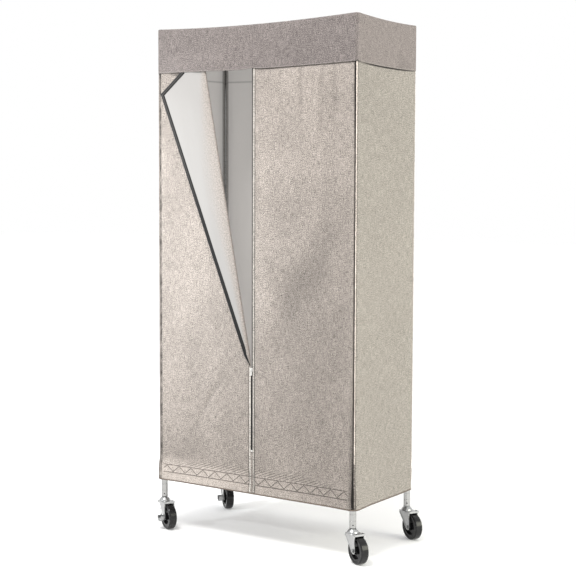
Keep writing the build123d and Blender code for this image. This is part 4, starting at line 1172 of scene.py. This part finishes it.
class RACK_OT_bind_edges(Step):
    """Bind the hem, raise the corner welts and close the slit below the zip"""
    bl_idname = "rack.bind_edges"
    bl_label = "Bind the edges"

    def execute(self, context):
        sizes = context.scene.rack_sizes
        self.hem(sizes)
        self.welts(sizes)
        self.slit()
        return {"FINISHED"}

    def hem(self, sizes):
        lines = []
        for side in SIDES:
            u = side_places(half_of(side), corner_of(side), 6, 4 * MM, 4 * MM, 9 * MM)[:-1]
            relief = wall_relief(side, u, np.full_like(u, PANEL_FOOT), sizes)
            lines.append(wall_line(side, u, PANEL_FOOT + 0.9 * MM, WALL_RADIUS - sizes.cloth / 2,
                                   relief))
        path, out = (np.concatenate(part) for part in zip(*lines))
        count = np.arange(len(path))
        path[:, 2] += 0.35 * MM * np.sin(count * 1.9) * np.sin(count * 0.37)
        thing = swept("hem_binding_tape", path, (out, (0, 0, 1)), (1.5 * MM, 2.9 * MM), "binding",
                      ring=True)
        placed(thing, ROOT, "binding", "hem_binding")

    def welts(self, sizes):
        """A folded strip stands proud at each corner, from hem to band.

        It is of the darker placket cloth, as painted shade, at the front left and low down at the
        front right, and paler elsewhere.
        """
        things = []
        z = np.arange(PANEL_FOOT + 1 * MM, BAND_FOOT + 6 * MM, 11 * MM)
        for side in SIDES:
            u = np.full_like(z, corner_of(side))
            relief = wall_relief(side, u, z, sizes) + 0.25 * MM * np.sin(z * 37 + half_of(side) * 9)
            path, out = wall_line(side, u, z, WALL_RADIUS, relief)
            along = np.cross((0, 0, 1), out)
            # Painted shade: the darker placket cloth at the front left and at the front right's
            # foot.
            foot = {"left": len(z), "front": np.searchsorted(z, 0.36)}.get(side, 0)
            for part, finish in ((slice(0, foot + 1), "placket"), (slice(foot, None), "welt")):
                if len(z[part]) > 1:
                    things.append(swept(f"welt_{side}", path[part], (along[part], out[part]),
                                        (0.42 * sizes.welt, 1.5 * MM), finish))
        placed(joined("corner_welts", things), ROOT, "piping", "corner_piping")

    def slit(self):
        """Pale welts along the slit, and the placket that fills it below the zip."""
        things = []
        for way, top in ((1, BAND_FOOT + 8 * MM), (-1, FOLD_FOOT - 2 * MM)):
            z = np.arange(PANEL_FOOT + 1 * MM, top, 10 * MM)
            x = way * (SLIT + 4.4 * MM) + 0.25 * MM * np.sin(z * 31 + way) * ease(z, 0.2, 0.3)
            y = -CLOSED_FRONT - 0.1 * MM - 2.2 * MM * hem_zone(z) + 2.3 * MM * shelf_zone(z)
            path = stacked(x, y, z)
            sides = (1, 0, 0), (0, -1, 0)
            things.append(swept(f"slit_welt_{way}", path, sides, (3.3 * MM, 0.8 * MM),
                                "light_welt"))
            # A dark cord along the right welt for its stitched groove: thread and painted groove
            # shade.
            if way > 0:
                things.append(swept("slit_line", path + np.array([-0.5 * MM, -0.9 * MM, 0]), sides,
                                    (0.9 * MM, 0.25 * MM), "dark_thread"))
        placed(joined("slit_welts", things), ROOT, "cover_cloth")
        rows = wall_rows(STOP_FOOT - 1 * MM)
        half_columns = np.array([0, 2.6, 3.5, 3.9, 4.6, 8, 11.8]) * MM
        x, z = np.meshgrid(np.concatenate([-half_columns[:0:-1], half_columns]), rows)
        depth = np.where(np.abs(x) < 3.7 * MM, CLOSED_FRONT - 0.4 * MM, CLOSED_FRONT - 2.1 * MM)
        depth = depth + 2.2 * MM * hem_zone(z) - 2.3 * MM * shelf_zone(z)
        thing = sewn("placket_strip", stacked(x, -depth, z), 0.8 * MM, stacked(x, z),
                     ("placket", "lining"),
                     {"shadow": 0.9 * hump(np.abs(x), 3.9 * MM, 0.9 * MM)})
        as_cloth(thing, ["placket"], (PLACKET_WIDTH, float(rows[-1] - rows[0])))


class RACK_OT_fit_zip(Step):
    """Fit the zip's tapes and teeth on both sides of the opening"""
    bl_idname = "rack.fit_zip"
    bl_label = "Fit the zip"

    def execute(self, context):
        self.tapes()
        self.teeth(context.scene.rack_sizes)
        return {"FINISHED"}

    @staticmethod
    def strip(name, x, depth, z, thickness, finish, marked=None):
        """A flat strip behind the front. One of its columns can be marked with painted seam shadow.
        """
        x, z = np.meshgrid(x, z)
        grid = stacked(x, depth - CLOSED_FRONT, z)
        mark = np.zeros_like(x)
        if marked is not None:
            mark[:, marked] = 1.0
        return sewn(name, grid, thickness, grid[..., [0, 2]], [finish] * 2, {"shadow": mark})

    def tapes(self):
        thick, depth = 0.7 * MM, 1.75 * MM
        span = np.linspace(*TAPE_SPAN, 8)
        up = self.strip("right_tape_up", span, depth,
                        np.arange(ZIP_FOOT, BAND_FOOT + 14 * MM, 12 * MM), thick, "tape", -1)
        places = flap_edge(3.4 * MM)[-len(EDGE_SHARES):]
        rises = np.linspace(0, 12 * MM, 5)[:, None]
        grid = stacked(places[:, 0], depth - CLOSED_FRONT, places[:, 1] + rises)[:, ::-1]
        top = sewn("right_tape_top", grid, thick, grid[..., [0, 2]], ["tape"] * 2)
        placed(joined("right_tape", [up, top]), ROOT, "zip_tape")
        left = self.strip("left_tape", -span[::-1], depth, np.arange(ZIP_FOOT, ZIP_HEAD, 12 * MM),
                          thick, "tape", 0)
        placed(left, ROOT, "zip_tape")
        loose = flap_ribbon("flap_tape", -12.0 * MM, 2.2 * MM, 1.1 * MM, thick, "tape", 1.0)
        placed(loose, "flap", "zip_tape")
        chain = flap_ribbon("flap_chain_bed", -1.6 * MM, 3.4 * MM, 0.7 * MM, 1.9 * MM, "teeth")
        placed(chain, "flap", "zip_teeth")
        beds = [self.strip(name, np.array([low, (low + high) / 2, high]) * MM, 0.9 * MM,
                           np.arange(ZIP_FOOT, top, 14 * MM), 1.2 * MM, "teeth")
                for name, low, high, top in (
                    ("right_chain_bed", -0.3, 4.9, BAND_FOOT + 8 * MM),
                    ("closed_chain_bed", -4.9, 0.4, ZIP_HEAD))]
        placed(joined("chain_beds", beds), ROOT, "zip_teeth")

    def teeth(self, sizes):
        tree = repeat_tree("Zip teeth")
        up = np.arange(ZIP_FOOT, BAND_FOOT + 1 * MM, 0.02)
        low = up[up < ZIP_HEAD + 0.01]
        tooth = dict(Pitch=sizes.tooth, Length=1.5 * MM, Width=2.0 * MM, Height=2.3 * MM)
        small = dict(Pitch=sizes.tooth / 2, Length=1.0 * MM, Width=2.2 * MM, Height=3.6 * MM)
        for name, x, heights, node, size in (
                ("right_teeth", 2.9 * MM, up, "zip_right", tooth),
                ("left_teeth", -2.9 * MM, low, "zip_left_lower", tooth),
                ("closed_teeth", 0.0, low, "zip_closed_teeth", small)):
            line = stacked(x, CHAIN + 1.2 * MM, heights)
            repeated(name, tree, [line], "teeth", ROOT, "zip_teeth", [node], **size)
        path = to_folded(edge_line(1.5 * MM, 0.5 * MM))
        repeated("flap_teeth", tree, [path], "teeth", "flap", "zip_teeth", ["flap_zip"], **tooth)


class RACK_OT_stitch_seams(Step):
    """Run rows of stitches along the band, the corners and the hem"""
    bl_idname = "rack.stitch_seams"
    bl_label = "Stitch the seams"

    def execute(self, context):
        sizes = context.scene.rack_sizes
        tree = repeat_tree("Stitches")
        size = dict(Pitch=sizes.stitch, Length=2.5 * MM, Width=0.75 * MM, Height=0.6 * MM)
        band, corners, hems = [], [], []
        heights = np.arange(PANEL_FOOT + 6 * MM, BAND_FOOT - 2 * MM, 6 * MM)
        for side in SIDES:
            half = half_of(side)
            reach = half + BAND_RADIUS * pi / 4
            u = np.arange(-reach, reach, 4 * MM)
            z = BAND_FOOT + 3.2 * MM - band_sag(side, u)
            band.append(wall_place(side, u, z, BAND_RADIUS, band_out(side, u, z) + 0.1 * MM))
            for way in (-1, 1):
                u = np.full_like(heights, way * (corner_of(side) - sizes.welt * 0.5 - 1.6 * MM))
                out = wall_relief(side, u, heights, sizes) - 0.9 * MM
                corners.append(wall_place(side, u, heights, WALL_RADIUS, out))
            u = np.arange(-half - 8 * MM, half + 8 * MM, 5 * MM)
            if side == "front":
                u = u[np.abs(u) > 0.012]
            z = np.full_like(u, PANEL_FOOT + 9 * MM)
            hems.append(wall_place(side, u, z, WALL_RADIUS, wall_relief(side, u, z, sizes)))
        for name, lines, finish, slot in (
                ("band_stitches", [np.concatenate(band)], "thread", "band_cloth"),
                ("corner_stitches", corners, "dark_thread", "cover_cloth"),
                ("hem_stitches", hems, "thread", "cover_cloth")):
            repeated(name, tree, lines, finish, ROOT, slot, **size)
        return {"FINISHED"}


class RACK_OT_set_stage(Step):
    """Set the floor, the soft lights and the camera"""
    bl_idname = "rack.set_stage"
    bl_label = "Set the stage"

    def execute(self, context):
        scene = context.scene
        scene.view_settings.view_transform = "Standard"
        paper = Finish("floor_paper").set(Base_Color=(0.93, 0.93, 0.93), Roughness=0.9,
                                          Emission_Color=(1, 1, 1), Emission_Strength=0.1)
        corners = [(30 * x, 30 * y, 0) for x, y in ((-1, -1), (1, -1), (1, 1), (-1, 1))]
        new_object("floor", corners, [(0, 1, 2, 3)], materials=[paper])
        scene.world = bpy.data.worlds.new("studio")
        scene.world.use_nodes = True
        back = scene.world.node_tree.nodes["Background"]
        back.inputs["Color"].default_value = (1, 1, 1, 1)
        back.inputs["Strength"].default_value = 1.0
        for name, kind, place, target, size, power, colour in LAMPS:
            data = bpy.data.lights.new(name, kind)
            if kind == "SPOT":
                data.spot_size = KEY_CONE
                data.spot_blend = 1.0
                data.shadow_soft_size = size
            else:
                data.shape = "DISK"
                data.size = size
            data.energy = power
            data.color = colour
            lamp = linked(name, data)
            lamp.location = place
            lamp.visible_camera = False
            lamp.rotation_mode = "QUATERNION"
            lamp.rotation_quaternion = (Vector(target) - Vector(place)).to_track_quat("-Z", "Y")
        self.camera(scene)
        return {"FINISHED"}

    def camera(self, scene):
        right = Vector((cos(VIEW_TURN), sin(VIEW_TURN), 0))
        back = Vector((sin(VIEW_TURN) * cos(VIEW_RISE), -cos(VIEW_TURN) * cos(VIEW_RISE),
                       sin(VIEW_RISE)))
        up = back.cross(right)
        across = right * cos(VIEW_ROLL) + up * sin(VIEW_ROLL)
        above = up * cos(VIEW_ROLL) - right * sin(VIEW_ROLL)
        matrix = Matrix((across, above, back)).transposed().to_4x4()
        target = Vector((0, 0, VIEW_HEIGHT)) + right * VIEW_ASIDE
        matrix.translation = target + back * scene.rack_sizes.camera_distance
        data = bpy.data.cameras.new("camera")
        data.sensor_width = SENSOR
        data.lens = SENSOR * FOCAL_PIXELS / PICTURE_PIXELS
        scene.camera = linked("camera", data)
        scene.camera.matrix_world = matrix


class RACK_PT_panel(bpy.types.Panel):
    """The rack's sizes, colours and steps"""
    bl_label = "Covered rack"
    bl_idname = "RACK_PT_panel"
    bl_space_type = "VIEW_3D"
    bl_region_type = "UI"
    bl_category = "Rack"

    def draw(self, context):
        layout = self.layout
        for group in (context.scene.rack_sizes, context.scene.rack_colours):
            column = layout.column(align=True)
            for key in group.__annotations__:
                column.prop(group, key)
        for step in STEPS:
            layout.operator(step.bl_idname)


STEPS = (RACK_OT_finish_metal, RACK_OT_sew_walls, RACK_OT_fold_corner, RACK_OT_sew_top,
         RACK_OT_bind_edges, RACK_OT_fit_zip, RACK_OT_stitch_seams, RACK_OT_set_stage)
CLASSES = (RackSizes, RackColours, *STEPS, RACK_PT_panel)


def register():
    for item in CLASSES:
        bpy.utils.register_class(item)
    bpy.types.Scene.rack_sizes = PointerProperty(type=RackSizes)
    bpy.types.Scene.rack_colours = PointerProperty(type=RackColours)


def unregister():
    del bpy.types.Scene.rack_colours
    del bpy.types.Scene.rack_sizes
    for item in reversed(CLASSES):
        bpy.utils.unregister_class(item)


def main():
    register()
    for step in STEPS:
        group, name = step.bl_idname.split(".")
        getattr(getattr(bpy.ops, group), name)()


if __name__ == "__main__":
    main()
